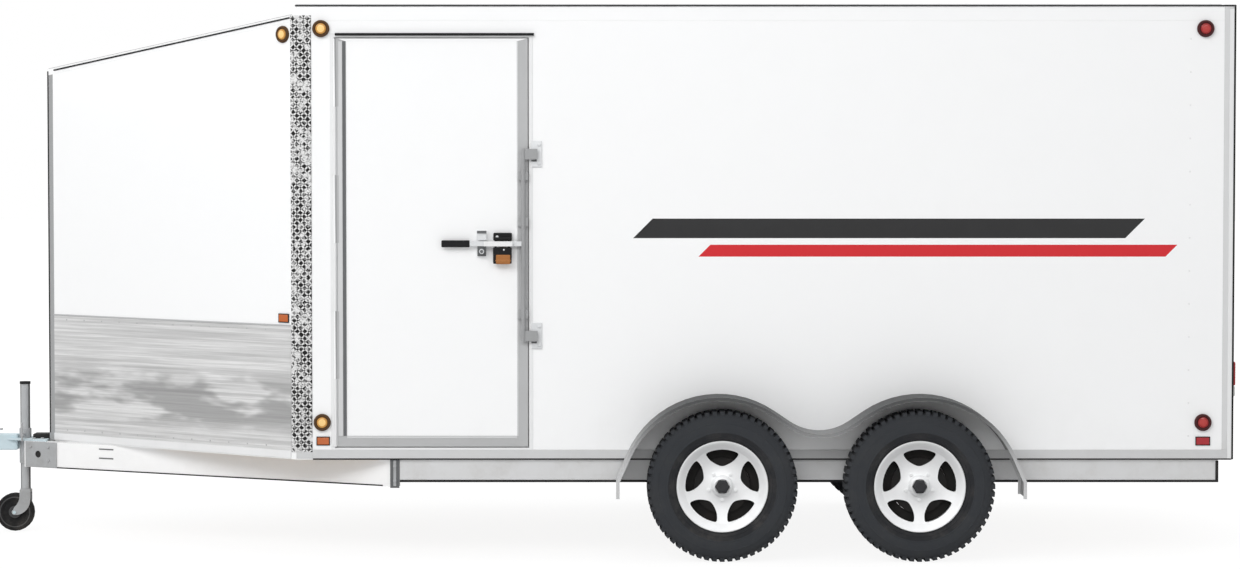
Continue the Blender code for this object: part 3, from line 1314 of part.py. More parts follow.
def build_axle(name, station):
    """A torsion axle: a square tube under the rails, with trailing arms that carry the spindles."""
    tube_x, hub_x = at(station - AXLE_TUBE_LEAD), at(station)
    half = AXLE_TUBE / 2
    arm_inner = RAIL_OUTER + MOVING_CLEARANCE
    arm_outer = arm_inner + ARM_THICKNESS
    drum_inner = WHEEL_PLANE + DISC_BACK - DRUM_DEPTH
    backing_outer = drum_inner - MOVING_CLEARANCE
    tube = box(
        "tube",
        (tube_x - half, -arm_inner - ROOT_DEPTH, AXLE_TUBE_CENTRE - half),
        (tube_x + half, arm_inner + ROOT_DEPTH, AXLE_TUBE_CENTRE + half),
        bevel=AXLE_TUBE / 10,
    )
    pieces = []
    tilt = math.degrees(math.atan2(WHEEL_RADIUS - AXLE_TUBE_CENTRE, AXLE_TUBE_LEAD))
    outline = arc((tube_x, AXLE_TUBE_CENTRE), ARM_WIDTH / 2 + ROOT_DEPTH, 90 + tilt, 270 + tilt, 8)
    outline += arc((hub_x, WHEEL_RADIUS), ARM_WIDTH / 2, -90 + tilt, 90 + tilt, 8)
    for side in SIDES.values():
        pieces.append(box(
            "bracket",
            (tube_x - BRACKET_LENGTH / 2, side * (RAIL_OUTER - RAIL_WIDTH), AXLE_TUBE_CENTRE),
            (tube_x + BRACKET_LENGTH / 2, side * (RAIL_OUTER - ROOT_DEPTH), RAIL_BOTTOM - FIT),
        ))
        pieces.append(flat("arm", [outline], side * arm_inner, side * arm_outer, "side"))
        pieces.append(rod(
            "backing_plate",
            (hub_x, side * (backing_outer - BACKING_THICKNESS), WHEEL_RADIUS),
            (hub_x, side * backing_outer, WHEEL_RADIUS),
            DRUM_RADIUS,
            ROUND_STEPS,
        ))
        pieces.append(rod(
            "spindle_boss",
            (hub_x, side * (arm_outer - ROOT_DEPTH), WHEEL_RADIUS),
            (hub_x, side * (backing_outer + ROOT_DEPTH), WHEEL_RADIUS),
            ARM_WIDTH / 2 - ROOT_DEPTH,
            ROUND_STEPS,
        ))
        pieces.append(rod(
            "spindle",
            (hub_x, side * arm_outer, WHEEL_RADIUS),
            (hub_x, side * (drum_inner + SPINDLE_LENGTH), WHEEL_RADIUS),
            SPINDLE_RADIUS,
            ROUND_STEPS,
        ))
    finished(fuse(tube, *pieces), name, BLACK_PAINT)


def tyre_shape():
    half, tread = TYRE_WIDTH / 2, TREAD_WIDTH / 2
    bead = RIM_SEAT_RADIUS + PIN_PLAY
    bead_half = RIM_WIDTH / 2 - RIM_FLANGE - FIT
    height = WHEEL_RADIUS - bead
    side_profile = [
        (bead, bead_half),
        (RIM_FLANGE_RADIUS + PIN_PLAY, bead_half),
        (bead + height * 0.24, half - height * 0.06),
        (bead + height * 0.5, half),
        (bead + height * 0.74, half - height * 0.03),
        (bead + height * 0.93, tread + height * 0.08),
        (WHEEL_RADIUS, tread),
    ]
    return turned("tyre", side_profile + [(r, -z) for r, z in reversed(side_profile)],
                  TYRE_STEPS, closed=True)


def rim_window(middle_deg):
    """One opening of the rim's face, wide at the rim and round towards the hub."""
    reach = WINDOW_OUTER_RADIUS - WINDOW_INNER_RADIUS

    def polar(share, offset):
        angle = math.radians(middle_deg + offset)
        radius = WINDOW_INNER_RADIUS + reach * share
        return (radius * math.cos(angle), radius * math.sin(angle))

    outer_half = WINDOW_OUTLINE[0][1]
    outline = arc((0, 0), WINDOW_OUTER_RADIUS, middle_deg - outer_half, middle_deg + outer_half, 3)
    outline += [polar(share, half) for share, half in WINDOW_OUTLINE[1:]]
    outline.append(polar(0, 0))
    outline += [polar(share, -half) for share, half in reversed(WINDOW_OUTLINE[1:])]
    return outline


def rim_shape():
    half = RIM_WIDTH / 2
    wall = RIM_SEAT_RADIUS - RIM_WALL
    flange_lip = half - RIM_FLANGE
    barrel = turned(
        "barrel",
        [
            (RIM_FLANGE_RADIUS, half),
            (RIM_FLANGE_RADIUS, flange_lip),
            (RIM_SEAT_RADIUS, flange_lip),
            (RIM_SEAT_RADIUS, -flange_lip),
            (RIM_FLANGE_RADIUS, -flange_lip),
            (RIM_FLANGE_RADIUS, -half),
            (wall, -half),
            (wall, half - RIM_FLANGE * 2),
            (RIM_SEAT_RADIUS, half),
        ],
        TYRE_STEPS,
        closed=True,
    )
    edge = wall + ROOT_DEPTH
    dished = DISC_BACK + DISC_DISH
    disc = turned(
        "disc",
        [
            (HUB_BORE_RADIUS, DISC_BACK + DISC_THICKNESS),
            (DISC_HUB_RADIUS, DISC_BACK + DISC_THICKNESS),
            (edge, dished + DISC_THICKNESS),
            (edge, dished),
            (DISC_HUB_RADIUS, DISC_BACK),
            (HUB_BORE_RADIUS, DISC_BACK),
        ],
        TYRE_STEPS,
        closed=True,
    )
    windows = [
        flat("window", [rim_window(90 + 360 / SPOKES * i)], DISC_BACK - OVERRUN,
             dished + DISC_THICKNESS + OVERRUN)
        for i in range(SPOKES)
    ]
    return fuse(barrel, cut(disc, *windows))


def hub_shape():
    face = DISC_BACK - FIT
    drum_back = DISC_BACK - DRUM_DEPTH
    bore = SPINDLE_RADIUS + PIN_PLAY
    bore_end = drum_back + SPINDLE_LENGTH + PIN_PLAY
    nose_end = face + HUB_NOSE_REACH
    return turned(
        "hub",
        [
            (0, nose_end + HUB_CAP_REACH),
            (HUB_CAP_RADIUS * 0.8, nose_end + HUB_CAP_REACH),
            (HUB_CAP_RADIUS, nose_end + HUB_CAP_REACH * 0.8),
            (HUB_CAP_RADIUS, nose_end),
            (HUB_NOSE_RADIUS, nose_end),
            (HUB_NOSE_RADIUS, face),
            (DRUM_RADIUS, face),
            (DRUM_RADIUS, drum_back),
            (bore, drum_back),
            (bore, bore_end),
            (0, bore_end),
        ],
        ROUND_STEPS,
    )


def build_wheels():
    """Four wheels, each made with its outer face along +Z, then turned to face its own side."""
    tyre, rim, hub = tyre_shape(), rim_shape(), hub_shape()
    stations = {"front": FRONT_AXLE_STATION, "rear": REAR_AXLE_STATION}
    turns = {
        "left": Matrix.Rotation(math.pi / 2, 4, "X"),
        "right": Matrix.Rotation(-math.pi / 2, 4, "X") @ Matrix.Rotation(math.pi, 4, "Z"),
    }
    for end, station in stations.items():
        for side_name, side in SIDES.items():
            place = f"{end}_{side_name}"
            pivot = make_pivot(f"wheel_{place}_axis", (at(station), side * WHEEL_PLANE, WHEEL_RADIUS))
            pose = Matrix.Translation(pivot.location) @ turns[side_name]
            for name, source, material in (("tyre", tyre, TYRE_RUBBER), ("rim", rim, CAST_ALLOY),
                                           ("hub_drum", hub, BLACK_PAINT)):
                copy = bpy.data.objects.new(name, source.data.copy())
                TRAILER.objects.link(copy)
                finished(moved(copy, pose), f"{name}_{place}", material, pivot)
    for source in (tyre, rim, hub):
        remove_part(source)


build_chassis_frame()
build_drawbar()
build_coupler()
build_jack()
build_floor()
build_side_walls()
build_nose()
build_stone_guards()
build_corner_strips()
build_roof()
build_side_door()
build_rear()
build_marker_lamps()
build_fenders()
build_axle("axle_front", FRONT_AXLE_STATION)
build_axle("axle_rear", REAR_AXLE_STATION)
build_wheels()
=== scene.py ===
"""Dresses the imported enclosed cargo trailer: paint, metal and rubber, tread, trims, rivets and stripes.

Metres, +Z up, nose along -X, the side with the door at -Y. Stations run along +X from the front
corner of the box body. Lathed profiles are in millimetres.
"""

import math

import bpy
from mathutils import Matrix, Vector


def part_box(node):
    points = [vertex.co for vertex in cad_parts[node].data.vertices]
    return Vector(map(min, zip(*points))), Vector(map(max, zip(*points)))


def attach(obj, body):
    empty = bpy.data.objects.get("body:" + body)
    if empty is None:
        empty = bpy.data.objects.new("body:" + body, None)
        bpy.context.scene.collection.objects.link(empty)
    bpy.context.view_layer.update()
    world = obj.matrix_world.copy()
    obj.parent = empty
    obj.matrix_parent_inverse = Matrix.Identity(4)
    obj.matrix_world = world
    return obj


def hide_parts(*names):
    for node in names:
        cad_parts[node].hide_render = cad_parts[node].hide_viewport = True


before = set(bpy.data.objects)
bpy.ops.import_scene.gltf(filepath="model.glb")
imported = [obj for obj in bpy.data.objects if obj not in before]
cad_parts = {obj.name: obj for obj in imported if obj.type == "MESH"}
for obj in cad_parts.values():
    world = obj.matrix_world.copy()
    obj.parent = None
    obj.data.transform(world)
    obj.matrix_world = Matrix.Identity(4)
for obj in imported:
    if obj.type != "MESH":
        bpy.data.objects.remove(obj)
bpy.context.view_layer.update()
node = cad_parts

# Places of the trailer that the dressing is set against
CORNER_X = -1.29275
HALF_WIDTH = 1.067
NOSE_SLOPE = 1.007 / 1.3
NOSE_ANGLE = math.atan(NOSE_SLOPE)
DRAWBAR_SLOPE = 0.5184
DRAWBAR_ANGLE = math.atan(DRAWBAR_SLOPE)
BODY_BOTTOM = 0.45
REAR_FACE = 4.31
ROOF_END = 4.2597
ROOF_SKIN = 2.5398
ROOF_EDGE = 2.5424
NOSE_TIP_TOP = 2.2642
NOSE_BACK_TOP = 2.4927
DOOR_FACE = 1.070
DOOR_START = 0.184
DOOR_END = 1.067
DOOR_BOTTOM = 0.510
DOOR_TOP = 2.385
KEEPER_FACE = 1.0732
KEEPER_HEIGHTS = (1.856, 1.021)
HANDLE_HEIGHT = 1.445
CATCH_SPOT = (CORNER_X + 0.856, -1.0878, 1.410)
WHEEL_PLANE = 1.182
WHEEL_RADIUS = 0.344
WHEELS = {
    "wheel_front_left": (1.956, -1),
    "wheel_front_right": (1.956, 1),
    "wheel_rear_left": (2.855, -1),
    "wheel_rear_right": (2.855, 1),
}
JACK_WHEEL_CENTRE = Vector((-2.77275, 0, 0.0935))
SIDES = {"left": -1, "right": 1}

# How far trims stand off the sheet they lie on, and how close points are merged
LIFT = 0.0004
WELD = 0.00002

# The height at which road dust has thinned out
DUST_HEIGHT = 0.9


def at(station):
    """World X of a station."""
    return CORNER_X + station


def nose_line(station):
    """Half width of the nose at a station."""
    return HALF_WIDTH + NOSE_SLOPE * station


def drawbar_line(station):
    """Distance of the drawbar's outer face from the middle at a station."""
    return 1.055 + DRAWBAR_SLOPE * (station - 0.451)


# Shader nodes

def feed(tree, made, inputs):
    """Sets a node's inputs, by label or number, to values or to other nodes' outputs."""
    for label, value in inputs.items():
        socket = made.inputs[label]
        if isinstance(value, (int, float)):
            socket.default_value = value
        elif isinstance(value, tuple):
            socket.default_value = (*value[:3], 1) if socket.type == "RGBA" else value
        elif value is not None:
            tree.links.new(value, socket)


def add_node(tree, kind, inputs, **settings):
    """A shader node with its settings made and its inputs fed."""
    made = tree.nodes.new("ShaderNode" + kind)
    for label, value in settings.items():
        setattr(made, label, value)
    feed(tree, made, inputs)
    return made


def new_group(name, inputs, outputs):
    """A shader node group with its sockets, and its input and output nodes."""
    group = bpy.data.node_groups.new(name, "ShaderNodeTree")
    for label, default in inputs.items():
        kind = "NodeSocketColor" if isinstance(default, tuple) else "NodeSocketFloat"
        group.interface.new_socket(label, in_out="INPUT", socket_type=kind).default_value = default
    for label in outputs:
        kind = "NodeSocketColor" if label == "Colour" else "NodeSocketFloat"
        group.interface.new_socket(label, in_out="OUTPUT", socket_type=kind)
    return group, group.nodes.new("NodeGroupInput").outputs, group.nodes.new("NodeGroupOutput")


def place_in(tree):
    return tree.nodes.new("ShaderNodeTexCoord").outputs["Object"]


def axes_of(tree, vector):
    return add_node(tree, "SeparateXYZ", {0: vector}).outputs


def math_node(tree, operation, first, second=None, clamp=False):
    return add_node(tree, "Math", {0: first, 1: second}, operation=operation, use_clamp=clamp).outputs[0]


def product(tree, *values):
    result = values[0]
    for value in values[1:]:
        result = math_node(tree, "MULTIPLY", result, value)
    return result


def noise_node(tree, vector, scale, detail=3.0, roughness=0.5):
    return add_node(tree, "TexNoise", {
        "Vector": vector, "Scale": scale, "Detail": detail, "Roughness": roughness}).outputs["Fac"]


def mapped(tree, vector, scale):
    return add_node(tree, "Mapping", {"Vector": vector, "Scale": scale}).outputs[0]


def span(tree, value, low, high, to_low=0.0, to_high=1.0):
    """A value mapped smoothly from one range to another, held at its ends."""
    return add_node(tree, "MapRange", {
        "Value": value, "From Min": low, "From Max": high, "To Min": to_low, "To Max": to_high,
    }, interpolation_type="SMOOTHSTEP").outputs[0]


def blend_colour(tree, mask, first, second):
    made = add_node(tree, "Mix", {}, data_type="RGBA")
    used = [i for i, socket in enumerate(made.inputs) if socket.enabled]
    feed(tree, made, dict(zip(used, (mask, first, second))))
    return [socket for socket in made.outputs if socket.enabled][0]


def tint(tree, mask, colour):
    """Blends a colour over the finish's own where the mask is white."""
    socket = tree.nodes["Dust"].inputs["Colour"]
    own = socket.links[0].from_socket if socket.is_linked else tuple(socket.default_value)
    tree.links.new(blend_colour(tree, mask, own, colour), socket)


def add_bump(tree, height, strength, distance):
    """Feeds a height into the surface of a finish."""
    bump = add_node(tree, "Bump", {"Height": height, "Strength": strength, "Distance": distance})
    feed(tree, tree.nodes["Principled BSDF"], {"Normal": bump.outputs["Normal"]})


# Materials

def build_grime_group():
    """Road dust that gathers near the ground and in patches, and dulls the surface there."""
    group, given, made = new_group("road_dust", {
        "Colour": (0.8, 0.8, 0.8, 1), "Dust": (0.35, 0.32, 0.28, 1), "Roughness": 0.4, "Amount": 0.3,
    }, ("Colour", "Roughness"))
    place = place_in(group)
    patches = noise_node(group, place, 7.0, 6.0, 0.62)
    specks = noise_node(group, place, 60.0, 3.0, 0.6)
    low = math_node(group, "DIVIDE", axes_of(group, place)["Z"], DUST_HEIGHT)
    mask = product(group, span(group, patches, 0.38, 0.72), span(group, specks, 0.3, 0.7, 0.55, 1.0),
                   span(group, low, 0.2, 1.0, 1.0, 0.12))
    mask = math_node(group, "MULTIPLY", mask, given["Amount"], clamp=True)
    rough = math_node(group, "MULTIPLY", mask, 0.4)
    rough = math_node(group, "ADD", given["Roughness"], rough, clamp=True)
    sheen = math_node(group, "MULTIPLY_ADD", span(group, patches, 0.3, 0.7), 0.06)
    feed(group, made, {"Colour": blend_colour(group, mask, given["Colour"], given["Dust"]),
                       "Roughness": math_node(group, "ADD", rough, sheen, clamp=True)})
    return group


def build_ripple_group():
    """The slight waviness of sheet metal or an orange-peel paint coat, as a height."""
    group, given, made = new_group("sheet_ripple", {"Coarse": 1.5, "Fine": 90.0}, ("Height",))
    place = place_in(group)
    coarse, fine = (noise_node(group, place, given[label], 2.0) for label in ("Coarse", "Fine"))
    share = math_node(group, "MULTIPLY", fine, 0.1)
    feed(group, made, {"Height": math_node(group, "ADD", coarse, share)})
    return group


def build_edge_group():
    """Bright or dark wear where a surface turns sharply, as a mask."""
    group, given, made = new_group("edge_wear", {"Reach": 0.004}, ("Mask",))
    bevel = add_node(group, "Bevel", {"Radius": given["Reach"]}, samples=4)
    flat = group.nodes.new("ShaderNodeNewGeometry").outputs["Normal"]
    dot = add_node(group, "VectorMath", {0: bevel.outputs[0], 1: flat}, operation="DOT_PRODUCT")
    turn = math_node(group, "SUBTRACT", 1.0, dot.outputs["Value"])
    limit = math_node(group, "MULTIPLY", noise_node(group, place_in(group), 30.0, 4.0, 0.6), 0.5)
    mask = math_node(group, "SUBTRACT", math_node(group, "MULTIPLY", turn, 6.0), limit)
    feed(group, made, {"Mask": math_node(group, "MULTIPLY", mask, 2.0, clamp=True)})
    return group


ROAD_DUST = build_grime_group()
SHEET_RIPPLE = build_ripple_group()
EDGE_WEAR = build_edge_group()


def finish_of(name, slot, colour, roughness, metallic=0.0, dust=0.25, dust_colour=(0.35, 0.32, 0.28),
              ripple=0.15, coarse=1.5, fine=90.0, depth=0.002, worn=None, reach=0.004, coat=0.0):
    """A finish, with road dust, ripples and, if asked, worn edges. The slot is not used."""
    material = bpy.data.materials.new(name)
    material.use_nodes = True
    tree = material.node_tree
    dusty = add_node(tree, "Group", {
        "Colour": colour, "Dust": dust_colour, "Roughness": roughness, "Amount": dust,
    }, node_tree=ROAD_DUST, name="Dust").outputs
    feed(tree, tree.nodes["Principled BSDF"], {
        "Metallic": metallic, "Coat Weight": coat, "Coat Roughness": 0.12,
        "Base Color": dusty["Colour"], "Roughness": dusty["Roughness"]})
    if worn is not None:
        tint(tree, add_node(tree, "Group", {"Reach": reach}, node_tree=EDGE_WEAR).outputs["Mask"], worn)
    if ripple:
        wave = add_node(tree, "Group", {"Coarse": coarse, "Fine": fine}, node_tree=SHEET_RIPPLE)
        add_bump(tree, wave.outputs["Height"], ripple, depth)
    return material


def paint_shade_at_sides(material, colour):
    """Darkens the faces that look forward or backward: painted shade, the dark sides that a polished round
    bar shows.
    """
    tree = material.node_tree
    normal = tree.nodes.new("ShaderNodeTexCoord").outputs["Normal"]
    across = math_node(tree, "ABSOLUTE", axes_of(tree, normal)["X"])
    tint(tree, span(tree, across, 0.60, 0.85), colour)


def painted_paler_below(material, low, high, colour):
    """Makes the paint grow paler downwards from one height to another, as painted light: the bright floor's
    reflection painted on.
    """
    tree = material.node_tree
    tint(tree, span(tree, axes_of(tree, place_in(tree))["Z"], low, high, 1.0, 0.0), colour)


def add_stripes(material):
    """Two straight stripes along the side, cut off at a slant at both ends."""
    tree = material.node_tree
    axes = axes_of(tree, place_in(tree))
    along = math_node(tree, "SUBTRACT", axes["X"], axes["Z"])
    for low, high, start, end, colour in (
        (1.47, 1.56, at(1.55), at(3.90), (0.012, 0.012, 0.013)),
        (1.385, 1.44, at(1.85), at(4.05), (0.62, 0.012, 0.02)),
    ):
        tint(tree, product(tree, math_node(tree, "GREATER_THAN", axes["Z"], low),
                           math_node(tree, "LESS_THAN", axes["Z"], high),
                           math_node(tree, "GREATER_THAN", along, start - low),
                           math_node(tree, "LESS_THAN", along, end - high)), colour)


def grey(level, step=0.005):
    """A grey, leaning slightly towards blue unless the step is 0."""
    return level, level + step, level + 2 * step


def brushed_guard():
    """Bright sheet brushed lengthwise, with long soft streaks and darker cloudy patches in a band at half
    height.
    """
    material = finish_of("brushed_guard", "aluminium", grey(0.86, 0), 0.3, 0.7, 0.12, (0.45, 0.43, 0.4),
                         ripple=0.0)
    tree = material.node_tree
    place = place_in(tree)
    grain = noise_node(tree, mapped(tree, place, (3.0, 3.0, 260.0)), 1.0, 6.0, 0.7)
    streak = noise_node(tree, mapped(tree, place, (0.8, 0.8, 60.0)), 1.0, 6.0, 0.65)
    cloud = noise_node(tree, mapped(tree, place, (2.2, 2.2, 9.0)), 1.0, 3.0, 0.55)
    height = axes_of(tree, place)["Z"]
    patch = product(tree, span(tree, height, 0.53, 0.64), span(tree, height, 0.74, 0.88, 1.0, 0.0),
                    span(tree, cloud, 0.42, 0.56), 0.55)
    tint(tree, span(tree, streak, 0.35, 0.7), grey(0.66, 0))
    tint(tree, span(tree, grain, 0.4, 0.7, 0.0, 0.3), grey(0.45, 0))
    tint(tree, patch, grey(0.3, 0))
    rough = math_node(tree, "ADD", math_node(tree, "MULTIPLY_ADD", grain, 0.16), 0.2)
    feed(tree, tree.nodes["Dust"], {"Roughness": rough})
    add_bump(tree, math_node(tree, "ADD", grain, math_node(tree, "MULTIPLY", streak, 2.0)), 0.25, 0.0015)
    return material


def tread_plate():
    """Rolled plate: short raised bars, each at right angles to its neighbours, near black between the bars
    in uneven patches.
    """
    material = finish_of("rolled_plate", "tread_plate", grey(0.84, 0), 0.34, 0.8, 0.25,
                         (0.25, 0.24, 0.22), ripple=0.0)
    tree = material.node_tree
    place = place_in(tree)
    wobble = add_node(tree, "TexNoise", {"Scale": 45.0, "Vector": place}).outputs["Color"]
    moved = add_node(tree, "VectorMath", {0: wobble, 1: grey(0.012, 0), 2: place},
                     operation="MULTIPLY_ADD")
    axes = axes_of(tree, moved.outputs[0])
    rising = math_node(tree, "ADD", axes["X"], axes["Z"])
    falling = math_node(tree, "SUBTRACT", axes["X"], axes["Z"])
    pitch = 0.0165
    bars = []
    for lines, shift in (((rising, falling), 0.0), ((falling, rising), pitch)):
        wide, long = (math_node(tree, "PINGPONG", math_node(tree, "ADD", line, shift), pitch)
                      for line in lines)
        bars.append(product(tree, span(tree, wide, pitch * 0.62, pitch * 0.82),
                            span(tree, long, pitch * 0.22, pitch * 0.4)))
    height = math_node(tree, "MAXIMUM", *bars)
    # Darkens the hollows between the bars, in patches.
    dark = product(tree, math_node(tree, "SUBTRACT", 1.0, height),
                   span(tree, noise_node(tree, place, 38.0, 3.0, 0.6), 0.35, 0.55))
    tint(tree, dark, grey(0.03, 0))
    add_bump(tree, height, 1.0, 0.004)
    return material


def plywood():
    """Sheets of plywood: long grain, knots, and the seams between the sheets."""
    material = finish_of("sheet_plywood", "plywood", (0.6, 0.43, 0.25), 0.6, 0.0, 0.2, ripple=0.0)
    tree = material.node_tree
    place = place_in(tree)
    grain = noise_node(tree, mapped(tree, place, (2.2, 30.0, 30.0)), 1.0, 6.0, 0.6)
    knots = noise_node(tree, mapped(tree, place, (2.0, 5.0, 5.0)), 1.0, 2.0, 0.5)
    seam = math_node(tree, "PINGPONG", axes_of(tree, place)["X"], 0.61)
    seam = span(tree, seam, 0.0015, 0.004, 1.0, 0.0)
    tint(tree, span(tree, grain, 0.3, 0.7), (0.42, 0.27, 0.13))
    tint(tree, span(tree, knots, 0.62, 0.72, 0.0, 0.6), (0.25, 0.14, 0.07))
    tint(tree, seam, (0.08, 0.05, 0.03))
    add_bump(tree, math_node(tree, "SUBTRACT", grain, seam), 0.3, 0.001)
    return material


def lens(name, slot, colour):
    """A moulded lens: a clear coat over deep colour with fine ribs inside, and a faint painted glow in its
    own colour.
    """
    material = finish_of(name, slot, colour, 0.22, 0.0, 0.1, ripple=0.0, coat=0.6)
    tree = material.node_tree
    ribs = add_node(tree, "TexWave", {"Scale": 60.0, "Vector": place_in(tree)}, bands_direction="Z")
    add_bump(tree, ribs.outputs["Fac"], 0.35, 0.002)
    # A faint painted glow: lenses and reflector panes glow though no lamp is lit.
    feed(tree, tree.nodes["Principled BSDF"], {"Emission Color": colour, "Emission Strength": 0.12})
    return material


SKIN = {"colour": grey(0.92), "roughness": 0.28, "dust": 0.06, "ripple": 0.2, "coarse": 1.2, "fine": 0.0,
        "depth": 0.01, "coat": 0.3}
WHITE_SKIN = finish_of("white_skin", "white_paint", **SKIN)
STRIPED_SKIN = finish_of("striped_skin", "white_paint", **SKIN)
add_stripes(STRIPED_SKIN)
# The frame's white paint is greyed to 0.66 as painted shade: a darker copy of the white paint on the skin
# and drawbar, standing for the shade that falls on the frame.
SHADED_WHITE_FRAME = finish_of("white_frame_painted_shade", "white_paint", grey(0.66), 0.35, ripple=0.12, coarse=12.0,
                        worn=grey(0.5, 0), reach=0.003, coat=0.2)
WHITE_DRAWBAR = finish_of("white_drawbar", "white_paint", grey(0.93, 0), 0.35, dust=0.06, ripple=0.12,
                          coarse=12.0, worn=grey(0.6, 0), reach=0.003, coat=0.2)
WHITE_TRIM = finish_of("white_trim", "white_paint", grey(0.8), 0.32, dust=0.1, ripple=0.1, coarse=6.0)
SILL_TRIM = finish_of("sill_trim", "aluminium", grey(0.64), 0.32, 0.2, 0.1, ripple=0.1, coarse=6.0)
EDGE_EXTRUSION = finish_of("edge_extrusion", "aluminium", grey(0.52), 0.34, 0.35, 0.12, ripple=0.08,
                           coarse=5.0)
SHADED_BEAD = finish_of("shaded_bead", "aluminium", grey(0.16), 0.4, 0.3, 0.1, ripple=0.08, coarse=5.0)
NOSE_CAP = finish_of("nose_cap", "aluminium", grey(0.42), 0.34, 0.4, 0.1, ripple=0.08, coarse=4.0)
BLACK_SEAL = finish_of("black_seal", "black_paint", (0.012, 0.012, 0.013), 0.6, dust=0.12, ripple=0.2,
                       coarse=40.0)
GREY_STEEL = finish_of("grey_steel", "grey_paint", grey(0.5, 0.01), 0.38, 0.5, coarse=30.0,
                       worn=grey(0.7, 0), reach=0.002)
SIDE_SHADED_TUBE = finish_of("tube_steel_shaded_sides", "grey_paint", grey(0.52, 0.01), 0.3, 0.5, 0.1, ripple=0.1,
                       coarse=30.0)
# The jack's tube gets painted shade at its forward and backward sides.
paint_shade_at_sides(SIDE_SHADED_TUBE, (0.2, 0.202, 0.205))
# The fender's near-black grey is partly painted shade, darkened for the shade under the fender, and it
# pales downwards as a painted reflection of the floor.
FENDER_SHADED_METAL = finish_of("fender_shaded_metal", "fender_paint", (0.085, 0.088, 0.09), 0.32, 0.3, 0.2, ripple=0.1,
                         coarse=6.0, worn=grey(0.35, 0), reach=0.002)
painted_paler_below(FENDER_SHADED_METAL, 0.34, 0.74, grey(0.62))
ZINC = finish_of("zinc", "galvanised", (0.66, 0.76, 0.8), 0.36, 0.5, 0.2, ripple=0.25, coarse=45.0,
                 depth=0.001, worn=(0.8, 0.84, 0.86), reach=0.002)
CHROME_PLATE = finish_of("chrome_plate", "chrome", grey(0.68, 0.01), 0.14, 1.0, 0.08, ripple=0.05,
                         coarse=30.0)
LOCK_STEEL = finish_of("lock_steel", "chrome", grey(0.42), 0.3, 0.7, 0.1, ripple=0.05, coarse=30.0)
BRASS_BODY = finish_of("brass_body", "brass", (0.5, 0.24, 0.09), 0.34, 0.9, 0.3, ripple=0.2, coarse=60.0,
                       worn=(0.75, 0.45, 0.22), reach=0.0015)
BLACK_GRIP = finish_of("black_grip", "black_paint", (0.008, 0.008, 0.009), 0.5, dust=0.05, ripple=0.3,
                       coarse=120.0)
AXLE_BLACK = finish_of("axle_black", "black_paint", (0.02, 0.02, 0.022), 0.45, dust=0.3, ripple=0.2,
                       coarse=25.0)
BRAKE_IRON = finish_of("brake_iron", "black_paint", (0.014, 0.0135, 0.013), 0.55, 0.3, 0.2,
                       (0.06, 0.04, 0.03), ripple=0.25, coarse=40.0)
ALLOY = finish_of("wheel_alloy", "cast_alloy", grey(0.88), 0.24, 0.95, 0.06, (0.2, 0.19, 0.18),
                  ripple=0.08, coarse=30.0)
ALLOY_CAP = finish_of("alloy_cap", "black_paint", (0.03, 0.03, 0.034), 0.3, 0.2, 0.1, ripple=0.1,
                      coarse=40.0)
GUARD = brushed_guard()
TREAD_PLATE = tread_plate()
PLYWOOD = plywood()
RUBBER = finish_of("moulded_rubber", "tyre_rubber", (0.03, 0.033, 0.038), 0.66, 0.0, 0.25,
                   (0.07, 0.068, 0.064), ripple=0.3, coarse=14.0, fine=240.0)
INNER_RUBBER = finish_of("inner_rubber", "tyre_rubber", (0.016, 0.017, 0.02), 0.5, dust=0.12, ripple=0.2,
                         coarse=20.0)
GREY_RUBBER = finish_of("grey_rubber", "tyre_rubber", (0.06, 0.06, 0.062), 0.5, dust=0.2, ripple=0.2,
                        coarse=30.0)
DARK_RUBBER = finish_of("dark_rubber", "tyre_rubber", (0.008, 0.008, 0.009), 0.6, dust=0.15, ripple=0.2,
                        coarse=30.0)
AMBER = lens("amber_glass", "amber_lens", (0.56, 0.27, 0.05))
# The paler lens middles of the marker lamps, amber here and red below, are a painted highlight.
AMBER_HIGHLIGHT = lens("amber_painted_highlight", "amber_lens", (0.86, 0.58, 0.22))
AMBER_PANE = lens("amber_pane", "amber_lens", (0.46, 0.10, 0.012))
RED = lens("red_glass", "red_lens", (0.3, 0.012, 0.012))
RED_HIGHLIGHT = lens("red_painted_highlight", "red_lens", (0.42, 0.03, 0.025))
RED_PANE = lens("red_pane", "red_lens", (0.34, 0.002, 0.01))
CLEAR_PANE = lens("clear_pane", "chrome", (0.62, 0.62, 0.6))
AMBER_BEZEL, RED_BEZEL = (
    finish_of(name, "black_paint", colour, 0.3, dust=0.08, ripple=0.1, coarse=60.0)
    for name, colour in (("amber_bezel", (0.07, 0.03, 0.006)), ("red_bezel", (0.05, 0.004, 0.005))))


def paint(name, *materials):
    """Gives a CAD node its materials, the first of them all over."""
    slots = node[name].data.materials
    slots.clear()
    for material in materials:
        slots.append(material)
    for face in node[name].data.polygons:
        face.material_index = 0


def repaint(name, index, picks):
    """Gives the faces of a CAD node that a test picks, by centre and normal, another of its slots."""
    for face in node[name].data.polygons:
        if picks(face.center, face.normal):
            face.material_index = index


# Modelling by hand

def begin():
    if bpy.context.object and bpy.context.object.mode != "OBJECT":
        bpy.ops.object.mode_set(mode="OBJECT")
    bpy.ops.object.select_all(action="DESELECT")


def pick(obj):
    begin()
    obj.select_set(True)
    bpy.context.view_layer.objects.active = obj


def apply_place(obj):
    pick(obj)
    bpy.ops.object.transform_apply(location=True, rotation=True, scale=True)


def settle(obj, name, material, body="trailer"):
    """Applies the piece's place, names it, and hangs it on its body."""
    apply_place(obj)
    obj.name = obj.data.name = name
    if material is not None:
        coat(obj, material)
    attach(obj, body)
    return obj


